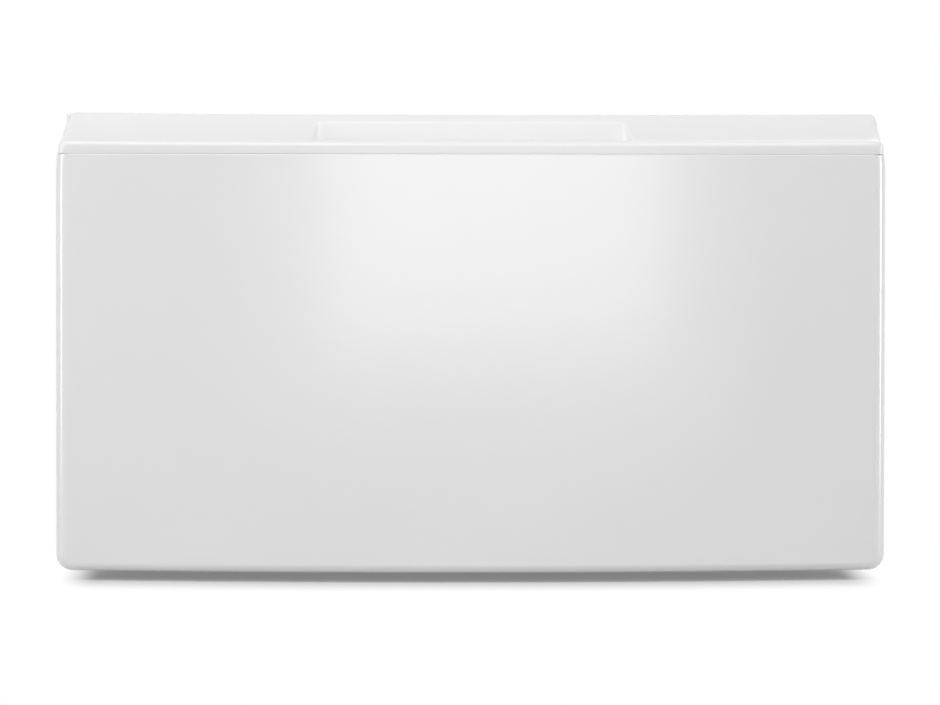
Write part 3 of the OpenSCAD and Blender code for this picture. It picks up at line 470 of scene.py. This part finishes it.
# Moulded plastic: a fine spark-eroded grain and slow changes of sheen where the melt flowed
moulded_grain, entry, leave = new_effect(
    "moulded_grain",
    {"Plastic": (0.8, 0.8, 0.8), "Grain Size": 0.0006, "Roughness": 0.4},
    ["Colour", "Roughness", "Height"],
)
place = put(moulded_grain, "ShaderNodeTexCoord").outputs["Object"]
per_metre = math_node(moulded_grain, "DIVIDE", 1.0, entry["Grain Size"])
grain = put(
    moulded_grain, "ShaderNodeTexNoise", {"Vector": place, "Scale": per_metre, "Detail": 2.0},
).outputs[0]
flow = put(moulded_grain, "ShaderNodeTexNoise", {"Vector": place, "Scale": 9.0, "Detail": 1.0})
shade = remap(moulded_grain, flow.outputs[0], 0.0, 1.0, 0.985, 1.0)
tone = put(moulded_grain, "ShaderNodeVectorMath", {0: entry["Plastic"], "Scale": shade}, operation="SCALE")
moulded_grain.links.new(tone.outputs[0], leave["Colour"])
shift = remap(moulded_grain, flow.outputs[0], 0.0, 1.0, -0.04, 0.05)
moulded_grain.links.new(math_node(moulded_grain, "ADD", entry["Roughness"], shift), leave["Roughness"])
moulded_grain.links.new(grain, leave["Height"])

black_nylon, tree, shader = new_finish("black_nylon")
grain = use_effect(tree, moulded_grain, Plastic=(0.022, 0.022, 0.024), Grain_Size=0.0005, Roughness=0.42)
feed(tree, shader, grain, 0.00003)
dress(black_nylon, "release_lever_left", "release_lever_right")
dress(plated, "lever_pins")

# ---------------------------------------------------------------------------------------------------------
# Drawer box: two sides, a back and a bottom with pressed beads.
# Folded from 1 mm steel, coated white and riveted together at the back corners.
# The coating is a little less glossy than the enamel outside.

box_coat, tree, shader = new_finish("white_box_coating")
skin = use_effect(tree, enamel_skin, Colour=(0.84, 0.845, 0.845), Ripple_Size=0.0012, Roughness=0.36)
feed(tree, shader, skin, 0.00004)
dress(box_coat, "box_side_left", "box_side_right", "box_back", "box_bottom")

# ---------------------------------------------------------------------------------------------------------
# Divider guides and the lift-out divider.
# The guides are white plastic channels snapped to the drawer's sides, three places on each side.
# The divider is one coated sheet with its top edge folded over, and slides up out of them.

white_nylon, tree, shader = new_finish("white_guide_plastic")
grain = use_effect(tree, moulded_grain, Plastic=(0.82, 0.82, 0.81), Grain_Size=0.0007, Roughness=0.42)
feed(tree, shader, grain, 0.00003)
shader.inputs["Subsurface Weight"].default_value = 0.08
shader.inputs["Subsurface Radius"].default_value = (0.003, 0.003, 0.003)
dress(white_nylon, "guides_left", "guides_right")
dress(box_coat, "divider")

# ---------------------------------------------------------------------------------------------------------
# Drawer front, inner panel.
# A flat coated sheet that closes the back of the bowed front and is the drawer's front wall.
# The cap and the drawer box are screwed through it.

dress(box_coat, "inner_panel")

# ---------------------------------------------------------------------------------------------------------
# Drawer front, outer panel.
# One deep-drawn steel sheet with white enamel: bowed across its width, rolled round the sides and bottom,
# turned in under the handle cap, and hemmed behind.

FRONT_HALF = 0.343
CROWN_Y = -0.324
BOW_RISE = 0.030
BOW_RADIUS = (FRONT_HALF**2 + BOW_RISE**2) / (2 * BOW_RISE)
panel_bottom_z = 0.0078
SEAM_Z = 0.352
side_roll_r = 0.009
bottom_roll_r = 0.0065
top_roll_r = 0.0012
top_roll_fade = 0.85
top_roll_run = 0.020
top_roll_pull = 0.040
bottom_corner_r = 0.0135
top_taper = 0.0013
top_taper_h = 0.024
panel_back_y = -0.235
top_flange_d = 0.0065
hem_w = 0.011
panel_sheet_t = 0.001


def lerp(a, b, t):
    """The value a share t of the way from a to b."""
    return a + (b - a) * t


def ease(t):
    """A share from 0 to 1 with soft ends."""
    t = min(1.0, max(0.0, t))
    return t * t * (3 - 2 * t)


def bow_y(x):
    """How far back the bowed face is at x."""
    return CROWN_Y + BOW_RADIUS - math.sqrt(BOW_RADIUS**2 - x * x)


def panel_half(z):
    """Half width of the panel, which draws in slightly just under the cap."""
    up = max(0.0, z - (SEAM_Z - top_taper_h)) / top_taper_h
    return FRONT_HALF - top_taper * (1 - math.sqrt(max(0.0, 1 - min(1.0, up) ** 2)))


def rolled(r, inset):
    """How far a roll of radius r drops back at that distance inside its edge."""
    if inset >= r:
        return 0.0
    return r - math.sqrt(max(0.0, r * r - (r - max(0.0, inset)) ** 2))


def panel_depth(x, z):
    """How far the panel's face is behind the bow, from the rolls at its edges."""
    over_x = abs(x) - (FRONT_HALF - bottom_corner_r)
    over_z = (panel_bottom_z + bottom_corner_r) - z
    if over_x > 0 and over_z > 0:
        share = math.atan2(over_z, over_x) / (math.pi / 2)
        r = side_roll_r + (bottom_roll_r - side_roll_r) * share
        edge = rolled(r, bottom_corner_r - math.hypot(over_x, over_z))
    elif over_z > 0:
        edge = rolled(bottom_roll_r, z - panel_bottom_z)
    else:
        edge = rolled(side_roll_r, panel_half(z) - abs(x))
    near_end = ease((abs(x) - (FRONT_HALF - 2 * side_roll_r)) / side_roll_r)
    top_r = top_roll_r * (1 - top_roll_fade * near_end)
    return math.hypot(edge, rolled(top_r, SEAM_Z - z))


# Outline of the right half, from the bottom's middle to the top's middle: outer point, inner point
across = 48
corner_steps = 6
side_steps = 34
outline = []
low = panel_bottom_z + bottom_corner_r
corner_x = FRONT_HALF - bottom_corner_r
for k in range(across):
    x = corner_x * k / across
    outline.append(((x, panel_bottom_z), (x, panel_bottom_z + bottom_roll_r)))
for k in range(2 * corner_steps + 1):
    angle = math.pi / 2 * (k / (2 * corner_steps) - 1)
    along = Vector((math.cos(angle), math.sin(angle)))
    core = bottom_corner_r - lerp(bottom_roll_r, side_roll_r, k / (2 * corner_steps))
    centre = Vector((corner_x, low))
    outline.append((tuple(centre + bottom_corner_r * along), tuple(centre + core * along)))
for k in range(1, side_steps + 1):
    share = 1 - (1 - k / side_steps) ** 1.6
    z = lerp(low, SEAM_Z, share)
    drop = top_roll_r * ease((z - (SEAM_Z - top_roll_run)) / top_roll_run)
    inner_x = (panel_half(SEAM_Z - 0.002) if drop else FRONT_HALF) - side_roll_r
    outline.append(((panel_half(z), z), (inner_x, z - drop)))
side_end = len(outline) - 1
top_half = panel_half(SEAM_Z)
for k in range(1, across + corner_steps + 1):
    x = top_half * (1 - k / (across + corner_steps))
    pull = side_roll_r * ease((x - (top_half - top_roll_pull)) / top_roll_pull)
    outline.append(((x, SEAM_Z), (x - pull, SEAM_Z - top_roll_r)))
bottom_mid = across + corner_steps

# The whole loop, with the left half mirrored
right = outline
left = [((-o[0], o[1]), (-i[0], i[1])) for o, i in reversed(outline[1:-1])]
loop = right + left
count = len(loop)

panel_points = []
panel_faces = []
rings = []
roll_steps = 10
for step in range(roll_steps + 1):
    reach = math.sin(math.pi / 2 * step / roll_steps)
    ring = []
    for outer, inner in loop:
        x = lerp(inner[0], outer[0], reach)
        z = lerp(inner[1], outer[1], reach)
        ring.append(len(panel_points))
        panel_points.append((x, bow_y(x) + panel_depth(x, z), z))
    rings.append(ring)
for inside, outside in zip(rings, rings[1:]):
    for k in range(count):
        m = (k + 1) % count
        panel_faces.append((inside[k], outside[k], outside[m], inside[m]))

# The bowed face inside the rolls, as a grid between the four runs of the inner ring
inner_ring = rings[0]
corner_a = bottom_mid
corner_b = side_end
corner_c = count - side_end
corner_d = count - bottom_mid
bottom_run = [inner_ring[k % count] for k in range(corner_d, corner_a + count + 1)]
right_run = [inner_ring[k] for k in range(corner_a, corner_b + 1)]
top_run = [inner_ring[k] for k in range(corner_b, corner_c + 1)][::-1]
left_run = [inner_ring[k] for k in range(corner_c, corner_d + 1)][::-1]
wide = len(bottom_run) - 1
tall = len(right_run) - 1
grid = {}
for i in range(wide + 1):
    grid[i, 0] = bottom_run[i]
    grid[i, tall] = top_run[i]
for j in range(tall + 1):
    grid[0, j] = left_run[j]
    grid[wide, j] = right_run[j]


def flat(index):
    """A panel point seen from the front."""
    p = panel_points[index]
    return Vector((p[0], p[2]))


for i in range(1, wide):
    for j in range(1, tall):
        u = i / wide
        v = j / tall
        sides = lerp(flat(left_run[j]), flat(right_run[j]), u)
        ends = lerp(flat(bottom_run[i]), flat(top_run[i]), v)
        low_ends = lerp(flat(bottom_run[0]), flat(bottom_run[-1]), u)
        high_ends = lerp(flat(top_run[0]), flat(top_run[-1]), u)
        spot = sides + ends - lerp(low_ends, high_ends, v)
        grid[i, j] = len(panel_points)
        panel_points.append((spot[0], bow_y(spot[0]) + panel_depth(spot[0], spot[1]), spot[1]))
for i in range(wide):
    for j in range(tall):
        panel_faces.append((grid[i, j], grid[i + 1, j], grid[i + 1, j + 1], grid[i, j + 1]))

# Straight sides and bottom back to the hem, and the short flange under the cap
outer_ring = rings[-1]
back_run = [k % count for k in range(corner_c, count + corner_b + 1)]
back_row = []
hem_row = []
for k in back_run:
    (ox, oz), _ = loop[k]
    back_row.append(len(panel_points))
    panel_points.append((ox, panel_back_y, oz))
for k in back_run:
    (ox, oz), (ix, iz) = loop[k]
    toward = Vector((ix - ox, iz - oz))
    if abs(oz - SEAM_Z) < 0.03:
        toward = Vector((ix - ox, 0.0))
    toward = toward.normalized() * hem_w
    hem_row.append(len(panel_points))
    panel_points.append((ox + toward[0], panel_back_y, oz + toward[1]))
for k in range(len(back_run) - 1):
    a = outer_ring[back_run[k]]
    b = outer_ring[back_run[k + 1]]
    panel_faces.append((a, back_row[k], back_row[k + 1], b))
    panel_faces.append((back_row[k], hem_row[k], hem_row[k + 1], back_row[k + 1]))
flange_row = []
for k in range(corner_b, corner_c + 1):
    (ox, oz), _ = loop[k]
    start = panel_points[outer_ring[k]][1]
    flange_row.append(len(panel_points))
    panel_points.append((ox, max(bow_y(ox) + top_flange_d, start + 0.0015), oz))
for k in range(corner_b, corner_c):
    a = k - corner_b
    panel_faces.append((outer_ring[k], flange_row[a], flange_row[a + 1], outer_ring[k + 1]))


def settle(piece, sharp_angle):
    """Makes the modifiers part of the mesh and marks its sharp edges."""
    evaluated = piece.evaluated_get(bpy.context.evaluated_depsgraph_get())
    finished = bpy.data.meshes.new_from_object(evaluated)
    piece.modifiers.clear()
    piece.data = finished
    finished.polygons.foreach_set("use_smooth", [True] * len(finished.polygons))
    finished.set_sharp_from_angle(angle=math.radians(sharp_angle))


front_skin = new_piece("bowed_front_skin", panel_points, panel_faces, enamel)
sheet_steel = front_skin.modifiers.new("sheet_steel", "SOLIDIFY")
sheet_steel.thickness = panel_sheet_t
sheet_steel.offset = -1.0
settle(front_skin, 35)
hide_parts("front_panel")
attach(front_skin, "drawer")

# ---------------------------------------------------------------------------------------------------------
# Handle cap.
# One glossy white moulding along the top of the drawer front, screwed on from behind.
# A rounded nose, then a hollow slope up to the ledge; fingers reach over the nose into the pocket.

cap_half_w = 0.3410
cap_top_z = SEAM_Z + 0.034
cap_low_z = SEAM_Z + 0.0001
cap_ledge_y = -0.2350
nose_r = 0.0050
nose_d = 0.00535
nose_z = SEAM_Z + 0.0060
slope_low = math.radians(12)
slope_high = math.radians(42)
crest_r = 0.0080
cap_end_r = 0.0072
nose_end_share = 0.6
ledge_end_share = 0.95
first_full_row = 6
cap_dip = 0.0012
cap_dip_rise = 0.008
cap_lean = {-1: 0.0052, 1: 0.0016}
cap_lean_from = 0.003
cap_lean_rise = 0.025
pocket_half = 0.1335
pocket_lip_d = 0.010
pocket_back_d = 0.0393
pocket_floor_d = 0.0355
pocket_floor_z = SEAM_Z - 0.009
pocket_splay = math.tan(math.radians(13))
cap_wall_t = 0.0025

slope_start = Vector((nose_d - nose_r * math.sin(slope_low), nose_z + nose_r * math.cos(slope_low)))
slope_top_z = cap_top_z - crest_r * (1 - math.cos(slope_high))
slope_r = (slope_top_z - slope_start[1]) / (math.cos(slope_low) - math.cos(slope_high))
slope_c = slope_start + slope_r * Vector((-math.sin(slope_low), math.cos(slope_low)))
crest_c = slope_c + (slope_r + crest_r) * Vector((math.sin(slope_high), -math.cos(slope_high)))


def slope_angle(depth):
    """The slope's angle where it is that far behind the bow."""
    return math.asin((depth - slope_c[0]) / slope_r)


# Rows from the joint up over the nose, the slope and the crest: each takes the end rounding's inset
cap_rows = [lambda i: (nose_d - nose_r + i, cap_low_z)]
cap_rows.append(lambda i: (nose_d - nose_r + i, lerp(cap_low_z, nose_z, 0.55)))
for k in range(9):
    turn = lerp(math.pi, math.pi / 2 + slope_low, k / 8)
    cap_rows.append(lambda i, a=turn: (nose_d + (nose_r - i) * math.cos(a),
                                       nose_z + (nose_r - i) * math.sin(a)))
lip_angle = slope_angle(pocket_lip_d)
back_angle = slope_angle(pocket_back_d)
lip_row = len(cap_rows)
slope_angles = [lerp(lip_angle, back_angle, k / 6) for k in range(7)]
back_row_j = lip_row + 6
slope_angles += [lerp(back_angle, slope_high, 0.5), slope_high]
for angle in slope_angles:
    cap_rows.append(lambda i, a=angle: (slope_c[0] + (slope_r + i) * math.sin(a),
                                        slope_c[1] - (slope_r + i) * math.cos(a)))
for k in range(1, 6):
    turn = slope_high * (1 - k / 5)
    cap_rows.append(lambda i, a=turn: (crest_c[0] - (crest_r - i) * math.sin(a),
                                       crest_c[1] + (crest_r - i) * math.cos(a)))
ledge_row = len(cap_rows)

# Columns from end to end, with the pocket's sides on two of them
end_steps = 7
half_columns = [pocket_half * k / 22 for k in range(23)]
pocket_column = 22
outer_span = cap_half_w - cap_end_r - pocket_half
half_columns += [pocket_half + outer_span * k / 20 for k in range(1, 21)]
cap_columns = [(u, 0.0) for u in half_columns]
for k in range(1, end_steps + 1):
    turn = math.pi / 2 * k / end_steps
    bulge = cap_half_w - cap_end_r + cap_end_r * math.sin(turn)
    cap_columns.append((bulge, cap_end_r * (1 - math.cos(turn))))
cap_columns = [(-u, i) for u, i in reversed(cap_columns[1:])] + cap_columns
middle = len(half_columns) + end_steps - 1
pocket_from = middle - pocket_column
pocket_to = middle + pocket_column


def cap_x(u, depth, z):
    """Where a column is: it follows the pocket's splayed side, and near the ends it leans in with height."""
    side = math.copysign(1.0, u)
    away = abs(u)
    if away <= pocket_half:
        follow = away / pocket_half
        lean = 0.0
    else:
        outward = (away - pocket_half) / (cap_half_w - pocket_half)
        follow = max(0.0, 1 - outward * 1.6)
        risen = min(1.0, max(0.0, (z - SEAM_Z - cap_lean_from) / cap_lean_rise))
        lean = cap_lean[int(side)] * outward**2 * risen
    splay = pocket_splay * (min(depth, pocket_back_d) - pocket_lip_d) if depth > pocket_lip_d else 0.0
    return side * (away - follow * splay - lean)


def cap_z(u, z):
    """The long moulding sags very slightly towards its middle."""
    return z - cap_dip * (1 - (u / cap_half_w) ** 2) * ease((z - cap_low_z) / cap_dip_rise)


cap_points = []
cap_grid = {}
for c, (u, inset) in enumerate(cap_columns):
    for r, row in enumerate(cap_rows):
        share = lerp(nose_end_share, ledge_end_share, ease((r - first_full_row) / (ledge_row - 10)))
        depth, z = row(inset * share)
        x = cap_x(u, depth, z)
        cap_grid[c, r] = len(cap_points)
        cap_points.append((x, bow_y(x) + depth, cap_z(u, z)))
    top = cap_top_z - inset * ledge_end_share
    x = cap_x(u, pocket_back_d, top)
    near = cap_points[-1][1]
    ledge = [(lerp(near, cap_ledge_y, s), top) for s in (0.33, 0.7, 1.0)]
    ledge += [(cap_ledge_y, lerp(top, cap_low_z, s)) for s in (0.2, 0.6, 1.0)]
    for r, (y, z) in enumerate(ledge):
        cap_grid[c, ledge_row + r] = len(cap_points)
        cap_points.append((x, y, cap_z(u, z)))
row_count = ledge_row + 6
column_count = len(cap_columns)

cap_faces = []
for c in range(column_count - 1):
    for r in range(row_count - 1):
        if pocket_from <= c < pocket_to and lip_row <= r < back_row_j:
            continue
        cap_faces.append((cap_grid[c, r], cap_grid[c + 1, r], cap_grid[c + 1, r + 1], cap_grid[c, r + 1]))

# Pocket floor, and walls from the rim down to it
pocket_first = len(cap_faces)
floor_grid = {}
for c in range(pocket_from, pocket_to + 1):
    for r in range(lip_row, back_row_j + 1):
        rim = cap_points[cap_grid[c, r]]
        share = (slope_angles[r - lip_row] - lip_angle) / (back_angle - lip_angle)
        depth = lerp(pocket_lip_d, pocket_floor_d, share)
        floor_grid[c, r] = len(cap_points)
        cap_points.append((rim[0], bow_y(rim[0]) + depth, pocket_floor_z))
for c in range(pocket_from, pocket_to):
    for r in range(lip_row, back_row_j):
        cap_faces.append((floor_grid[c, r], floor_grid[c + 1, r],
                          floor_grid[c + 1, r + 1], floor_grid[c, r + 1]))
rim_loop = [(c, lip_row) for c in range(pocket_from, pocket_to)]
rim_loop += [(pocket_to, r) for r in range(lip_row, back_row_j)]
rim_loop += [(c, back_row_j) for c in range(pocket_to, pocket_from, -1)]
rim_loop += [(pocket_from, r) for r in range(back_row_j, lip_row, -1)]
for k, spot in enumerate(rim_loop):
    after = rim_loop[(k + 1) % len(rim_loop)]
    cap_faces.append((cap_grid[spot], cap_grid[after], floor_grid[after], floor_grid[spot]))

pocket_last = len(cap_faces)

# End walls, straight down from the rounded end columns
for c, flip in ((0, True), (column_count - 1, False)):
    feet = {}
    for r in range(2, row_count - 3):
        p = cap_points[cap_grid[c, r]]
        feet[r] = len(cap_points)
        cap_points.append((math.copysign(cap_half_w, p[0]), p[1], cap_low_z))
    feet[2] = cap_grid[c, 0]
    feet[row_count - 4] = cap_grid[c, row_count - 1]
    for r in range(2, row_count - 4):
        face = [cap_grid[c, r], feet[r], feet[r + 1], cap_grid[c, r + 1]]
        if r == 2:
            face = [cap_grid[c, 2], cap_grid[c, 1], feet[2], feet[3], cap_grid[c, 3]]
        if r == row_count - 5:
            face = [cap_grid[c, r], feet[r], feet[r + 1], cap_grid[c, row_count - 2],
                    cap_grid[c, row_count - 3], cap_grid[c, r + 1]]
        cap_faces.append(tuple(reversed(face)) if flip else tuple(face))

white_moulding, tree, shader = new_finish("white_gloss_moulding")
grain = use_effect(tree, moulded_grain, Plastic=(0.87, 0.87, 0.87), Grain_Size=0.0014, Roughness=0.34)
feed(tree, shader, grain, 0.00002)
shader.inputs["Coat Weight"].default_value = 0.2
shader.inputs["Coat Roughness"].default_value = 0.15

# The finger cup's faces take a whiter colour than the rest of the moulding: painted light, standing in for
# the light that gathers in the pocket
painted_light_cup_moulding, tree, shader = new_finish("cup_moulding_painted_light")
grain = use_effect(tree, moulded_grain, Plastic=(0.95, 0.95, 0.95), Grain_Size=0.0014, Roughness=0.34)
feed(tree, shader, grain, 0.00001)

cap_skin = new_piece("handle_cap_moulding", cap_points, cap_faces, white_moulding)
# The pocket's floor and walls take the second finish, whose whiter colour is painted light
cap_skin.data.materials.append(painted_light_cup_moulding)
for face in cap_skin.data.polygons[pocket_first:pocket_last]:
    face.material_index = 1
shaping = bmesh.new()
shaping.from_mesh(cap_skin.data)
weight = shaping.edges.layers.float.new("bevel_weight_edge")
shaping.verts.ensure_lookup_table()
rim_softness = {"rim": 0.4, "floor": 1.0, "upright": 1.0, "ledge": 0.3}


def mark(a, b, amount):
    """Sets how much the edge between two points is rounded."""
    edge = shaping.edges.get((shaping.verts[a], shaping.verts[b]))
    if edge:
        edge[weight] = amount


for k, spot in enumerate(rim_loop):
    after = rim_loop[(k + 1) % len(rim_loop)]
    mark(cap_grid[spot], cap_grid[after], rim_softness["rim"])
    mark(floor_grid[spot], floor_grid[after], rim_softness["floor"])
for c in (pocket_from, pocket_to):
    for r in (lip_row, back_row_j):
        mark(cap_grid[c, r], floor_grid[c, r], rim_softness["upright"])
for c in range(column_count - 1):
    mark(cap_grid[c, ledge_row + 2], cap_grid[c + 1, ledge_row + 2], rim_softness["ledge"])
shaping.to_mesh(cap_skin.data)
shaping.free()

soft_edges = cap_skin.modifiers.new("soft_edges", "BEVEL")
soft_edges.limit_method = "WEIGHT"
soft_edges.width = 0.003
soft_edges.segments = 4
wall = cap_skin.modifiers.new("moulded_wall", "SOLIDIFY")
wall.thickness = cap_wall_t
wall.offset = -1.0
settle(cap_skin, 35)
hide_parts("handle_cap")
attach(cap_skin, "drawer")

# ---------------------------------------------------------------------------------------------------------
# Closing bumpers.
# Four grey rubber domes pushed into holes in the inner panel, which meet the cabinet's front flanges.

bumper_x = 0.3255
bumper_spots = [(s * bumper_x, z) for s in (-1, 1) for z in (0.054, 0.327)]
bumper_base_y = -0.234
bumper_profile = [
    (-0.0020, 0.0018),
    (-0.0018, 0.0024),
    (-0.0002, 0.0024),
    (0.0, 0.0044),
    (0.0003, 0.0049),
    (0.0014, 0.0048),
    (0.0024, 0.0043),
    (0.0031, 0.0032),
    (0.00345, 0.0017),
]

grey_rubber, tree, shader = new_finish("grey_rubber")
bloom = use_effect(tree, rubber_bloom, Rubber=(0.16, 0.16, 0.165), Bloom=(0.22, 0.22, 0.22), Roughness=0.58)
feed(tree, shader, bloom, 0.00003)

bumper_points = []
bumper_faces = []
profile_points, profile_faces = lathe_skin([(h, round_rule(r)) for h, r in bumper_profile], 28)
for x, z in bumper_spots:
    first = len(bumper_points)
    bumper_points += [(x - px, bumper_base_y + pz, z + py) for px, py, pz in profile_points]
    bumper_faces += [tuple(v + first for v in face) for face in profile_faces]
bumper_domes = new_piece("bumper_domes", bumper_points, bumper_faces, grey_rubber)
bumper_domes.data.set_sharp_from_angle(angle=math.radians(50))
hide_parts("bumpers")
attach(bumper_domes, "drawer")

# ---------------------------------------------------------------------------------------------------------
# Screws and rivets.
# Cross-recessed pan-head screws hold the back, the slides, the cap and the drawer front.
# The drawer's back corners are riveted.

screw_steel, tree, shader = new_finish("bright_screw_steel")
plate = use_effect(
    tree, zinc_plate, Silver=(0.6, 0.61, 0.63), Tint=(0.52, 0.53, 0.56), Patch_Size=0.003, Roughness=0.34,
)
feed(tree, shader, plate, 0.00001)
shader.inputs["Metallic"].default_value = 1.0
dress(screw_steel, "back_screws", "support_screws", "member_screws", "front_screws", "cap_screws")
dress(screw_steel, "box_rivets")

# ---------------------------------------------------------------------------------------------------------
# Floor, light and camera.
# A pale floor that glows white to the camera, its glow faded out over a given footprint round the object.
# That mask paints the shadow's outline, and the glow it keeps under the object is painted light over the
# lamps' shade.
# Two soft lamps in front, a tall strip at each side, one high on the left, one overhead and a weak one
# behind.

floor_half = 3.0
# Outline of the painted shadow mask on the floor: the floor's glow is held back inside it
shadow_front_y = CROWN_Y + 0.006
shadow_bow = 0.253
shadow_back_y = 0.300
shadow_half_w = 0.307
side_fade_speed = 2.8
fade_reach = 0.1
fade_start = 0.2
ambient = 0.18
floor_mesh = bpy.data.meshes.new("studio_floor")
floor_mesh.from_pydata(
    [(-floor_half, -floor_half, 0), (floor_half, -floor_half, 0), (floor_half, floor_half, 0),
     (-floor_half, floor_half, 0)], [], [(0, 1, 2, 3)],
)
studio_floor = bpy.data.objects.new("studio_floor", floor_mesh)
bpy.context.scene.collection.objects.link(studio_floor)

floor_paint, tree, shader = new_finish("white_studio_floor")
place = put(tree, "ShaderNodeTexCoord").outputs["Object"]
sweep = put(tree, "ShaderNodeTexNoise", {"Vector": place, "Scale": 2.0, "Detail": 2.0}).outputs[0]
tree.links.new(remap(tree, sweep, 0.3, 0.7, 0.75, 0.85), shader.inputs["Roughness"])
shader.inputs["Base Color"].default_value = (0.57, 0.57, 0.57, 1.0)
shader.inputs["Specular IOR Level"].default_value = 0.1
glow = put(tree, "ShaderNodeEmission", {"Color": (1.0, 1.0, 1.0, 1.0), "Strength": 1.0})
spot = put(tree, "ShaderNodeSeparateXYZ", {0: place}).outputs
x_squared = math_node(tree, "POWER", spot["X"], 2.0)
bow_line = math_node(tree, "MULTIPLY_ADD", x_squared, shadow_bow, shadow_front_y)
ahead = math_node(tree, "SUBTRACT", bow_line, spot["Y"])
behind = math_node(tree, "SUBTRACT", spot["Y"], shadow_back_y)
beside = math_node(tree, "SUBTRACT", math_node(tree, "ABSOLUTE", spot["X"]), shadow_half_w)
out_y = math_node(tree, "MAXIMUM", math_node(tree, "MAXIMUM", ahead, behind), 0.0)
out_x = math_node(tree, "MULTIPLY", math_node(tree, "MAXIMUM", beside, 0.0), side_fade_speed)
away = put(tree, "ShaderNodeCombineXYZ", {"X": out_x, "Y": out_y}).outputs[0]
spread = put(tree, "ShaderNodeVectorMath", {0: away}, operation="LENGTH").outputs["Value"]
# Painted shadow: the glow's share is 0.2 inside the footprint, which is painted light over the lamps' shade,
# and it rises to full a tenth of a metre outside the footprint
fade = put(
    tree, "ShaderNodeMapRange", {"Value": spread, 1: 0.0, 2: fade_reach, 3: fade_start, 4: 1.0},
    interpolation_type="SMOOTHSTEP",
).outputs[0]
ray = put(tree, "ShaderNodeLightPath").outputs
seen = math_node(tree, "MAXIMUM", ray["Is Camera Ray"], ray["Is Glossy Ray"])
seen = math_node(tree, "MAXIMUM", seen, ray["Is Transmission Ray"])
surface = put(
    tree, "ShaderNodeMixShader",
    {0: math_node(tree, "MULTIPLY", fade, seen), 1: shader.outputs[0], 2: glow.outputs[0]},
)
output = next(n for n in tree.nodes if n.type == "OUTPUT_MATERIAL")
tree.links.new(surface.outputs[0], output.inputs["Surface"])
floor_mesh.materials.append(floor_paint)

world = bpy.data.worlds.new("white_studio")
bpy.context.scene.world = world
world.use_nodes = True
tree = world.node_tree
tree.nodes.clear()
ray = put(tree, "ShaderNodeLightPath").outputs
seen = math_node(tree, "MAXIMUM", ray["Is Camera Ray"], ray["Is Glossy Ray"])
seen = math_node(tree, "MAXIMUM", seen, ray["Is Transmission Ray"])
air = put(
    tree, "ShaderNodeBackground",
    {"Color": (1.0, 1.0, 1.0, 1.0), "Strength": remap(tree, seen, 0.0, 1.0, ambient, 1.0)},
)
sky = tree.nodes.new("ShaderNodeOutputWorld")
tree.links.new(air.outputs[0], sky.inputs["Surface"])


def soft_lamp(name, spot, aim, width, height, watts):
    """A rectangular soft lamp at a spot, turned to a point, that the camera doesn't see."""
    lamp = bpy.data.lights.new(name, "AREA")
    lamp.shape = "RECTANGLE"
    lamp.size = width
    lamp.size_y = height
    lamp.energy = watts
    stand = bpy.data.objects.new(name, lamp)
    stand.location = spot
    stand.rotation_euler = (Vector(aim) - Vector(spot)).to_track_quat("-Z", "Y").to_euler()
    stand.visible_camera = False
    bpy.context.scene.collection.objects.link(stand)


soft_lamp("front_key", (0.09, -1.9, 0.42), (0.05, -0.3, 0.25), 1.25, 0.75, 2.2)
soft_lamp("narrow_key", (0.08, -1.6, 0.42), (0.05, -0.3, 0.25), 0.75, 0.55, 3.0)
soft_lamp("left_strip", (-1.75, -0.72, 0.45), (-0.34, -0.29, 0.25), 0.4, 1.0, 6.17)
soft_lamp("right_strip", (1.75, -0.50, 0.45), (0.34, -0.29, 0.25), 0.3, 1.0, 8.07)
soft_lamp("left_high", (-1.5, -0.95, 0.8), (0.0, -0.28, 0.37), 0.6, 0.5, 3.39)
soft_lamp("top_front", (0.0, -0.8, 2.0), (0.0, -0.25, 0.38), 2.0, 0.6, 18.95)
soft_lamp("back_fill", (0.3, 2.3, 1.3), (0.0, 0.3, 0.2), 1.4, 1.0, 8.0)

camera_data = bpy.data.cameras.new("studio_camera")
camera_data.sensor_fit = "HORIZONTAL"
camera_data.sensor_width = 36.0
camera_data.lens = 194.62
camera_data.shift_y = -0.07
camera_data.clip_end = 30.0
camera_spot = (-0.1043, -4.4864, 0.3614)
camera = bpy.data.objects.new("studio_camera", camera_data)
turn = Matrix.Rotation(math.radians(-1.4078), 4, "Z")
tilt = Matrix.Rotation(math.radians(90 - 1.626), 4, "X")
lean = Matrix.Rotation(math.radians(0.082), 4, "Z")
camera.matrix_world = Matrix.Translation(camera_spot) @ turn @ tilt @ lean
bpy.context.scene.collection.objects.link(camera)
bpy.context.scene.camera = camera

bpy.context.scene.view_settings.view_transform = "Standard"
